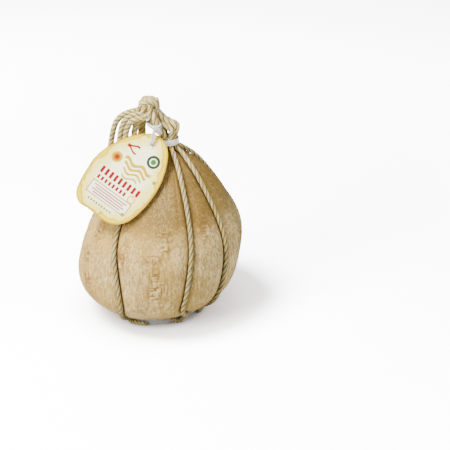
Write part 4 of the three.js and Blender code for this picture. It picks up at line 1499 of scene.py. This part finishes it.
class PROVOLONE_PT_pieces(bpy.types.Panel):
    """The cheese's settings and the buttons that add its pieces"""
    bl_idname = "PROVOLONE_PT_pieces"
    bl_label = "Provolone"
    bl_space_type = "VIEW_3D"
    bl_region_type = "UI"
    bl_category = "Provolone"

    def draw(self, context):
        for label, owner, names, operators in PANEL_ROWS:
            box = self.layout.box()
            box.label(text=label)
            settings = getattr(context.scene, owner)
            for name in names:
                box.prop(settings, name)
            for operator in operators:
                box.operator(operator)


PANEL_ROWS = [
    ("Stage", "provolone_stage",
     ("floor", "floor_bounce", "floor_glare", "foot_shadow_glare", "key_power", "front_power", "fill_power", "sky"),
     ("provolone.stage",)),
    ("Rind", "provolone_rind", ("colour", "pale", "deep", "mark", "groove", "bank"), ("provolone.rind",)),
    ("Ropes", "provolone_rope", ("colour", "hollow_shade", "tail", "low_shade", "strands", "pitch"),
     ("provolone.tails", "provolone.harness", "provolone.rope_ends", "provolone.knot")),
    ("Plastic", "provolone_plastic", ("colour", "disc_shade", "roughness"), ("provolone.plastic_parts",)),
    ("Tag", "provolone_tag", ("card", "margin", "line", "bow"), ("provolone.tag",)),
    ("String", "provolone_string", ("colour", "stop", "pitch"), ("provolone.tag_string",)),
]

SETTINGS = {
    "provolone_stage": ProvoloneStageSettings,
    "provolone_rind": ProvoloneRindSettings,
    "provolone_rope": ProvoloneRopeSettings,
    "provolone_plastic": ProvolonePlasticSettings,
    "provolone_tag": ProvoloneTagSettings,
    "provolone_string": ProvoloneStringSettings,
}

OPERATORS = (
    PROVOLONE_OT_stage, PROVOLONE_OT_tails, PROVOLONE_OT_rind, PROVOLONE_OT_harness, PROVOLONE_OT_rope_ends,
    PROVOLONE_OT_knot, PROVOLONE_OT_plastic_parts, PROVOLONE_OT_tag, PROVOLONE_OT_tag_string,
)


def register():
    for settings in SETTINGS.values():
        bpy.utils.register_class(settings)
    for name, settings in SETTINGS.items():
        setattr(bpy.types.Scene, name, PointerProperty(type=settings))
    for operator in OPERATORS:
        bpy.utils.register_class(operator)
    bpy.utils.register_class(PROVOLONE_PT_pieces)


def unregister():
    bpy.utils.unregister_class(PROVOLONE_PT_pieces)
    for operator in reversed(OPERATORS):
        bpy.utils.unregister_class(operator)
    for name in SETTINGS:
        delattr(bpy.types.Scene, name)
    for settings in reversed(SETTINGS.values()):
        bpy.utils.unregister_class(settings)


def main():
    register()
    bpy.ops.provolone.stage()
    bpy.ops.provolone.tails()
    bpy.ops.provolone.rind()
    bpy.ops.provolone.harness()
    bpy.ops.provolone.rope_ends()
    bpy.ops.provolone.knot()
    bpy.ops.provolone.plastic_parts()
    bpy.ops.provolone.tag()
    bpy.ops.provolone.tag_string()


if __name__ == "__main__":
    main()
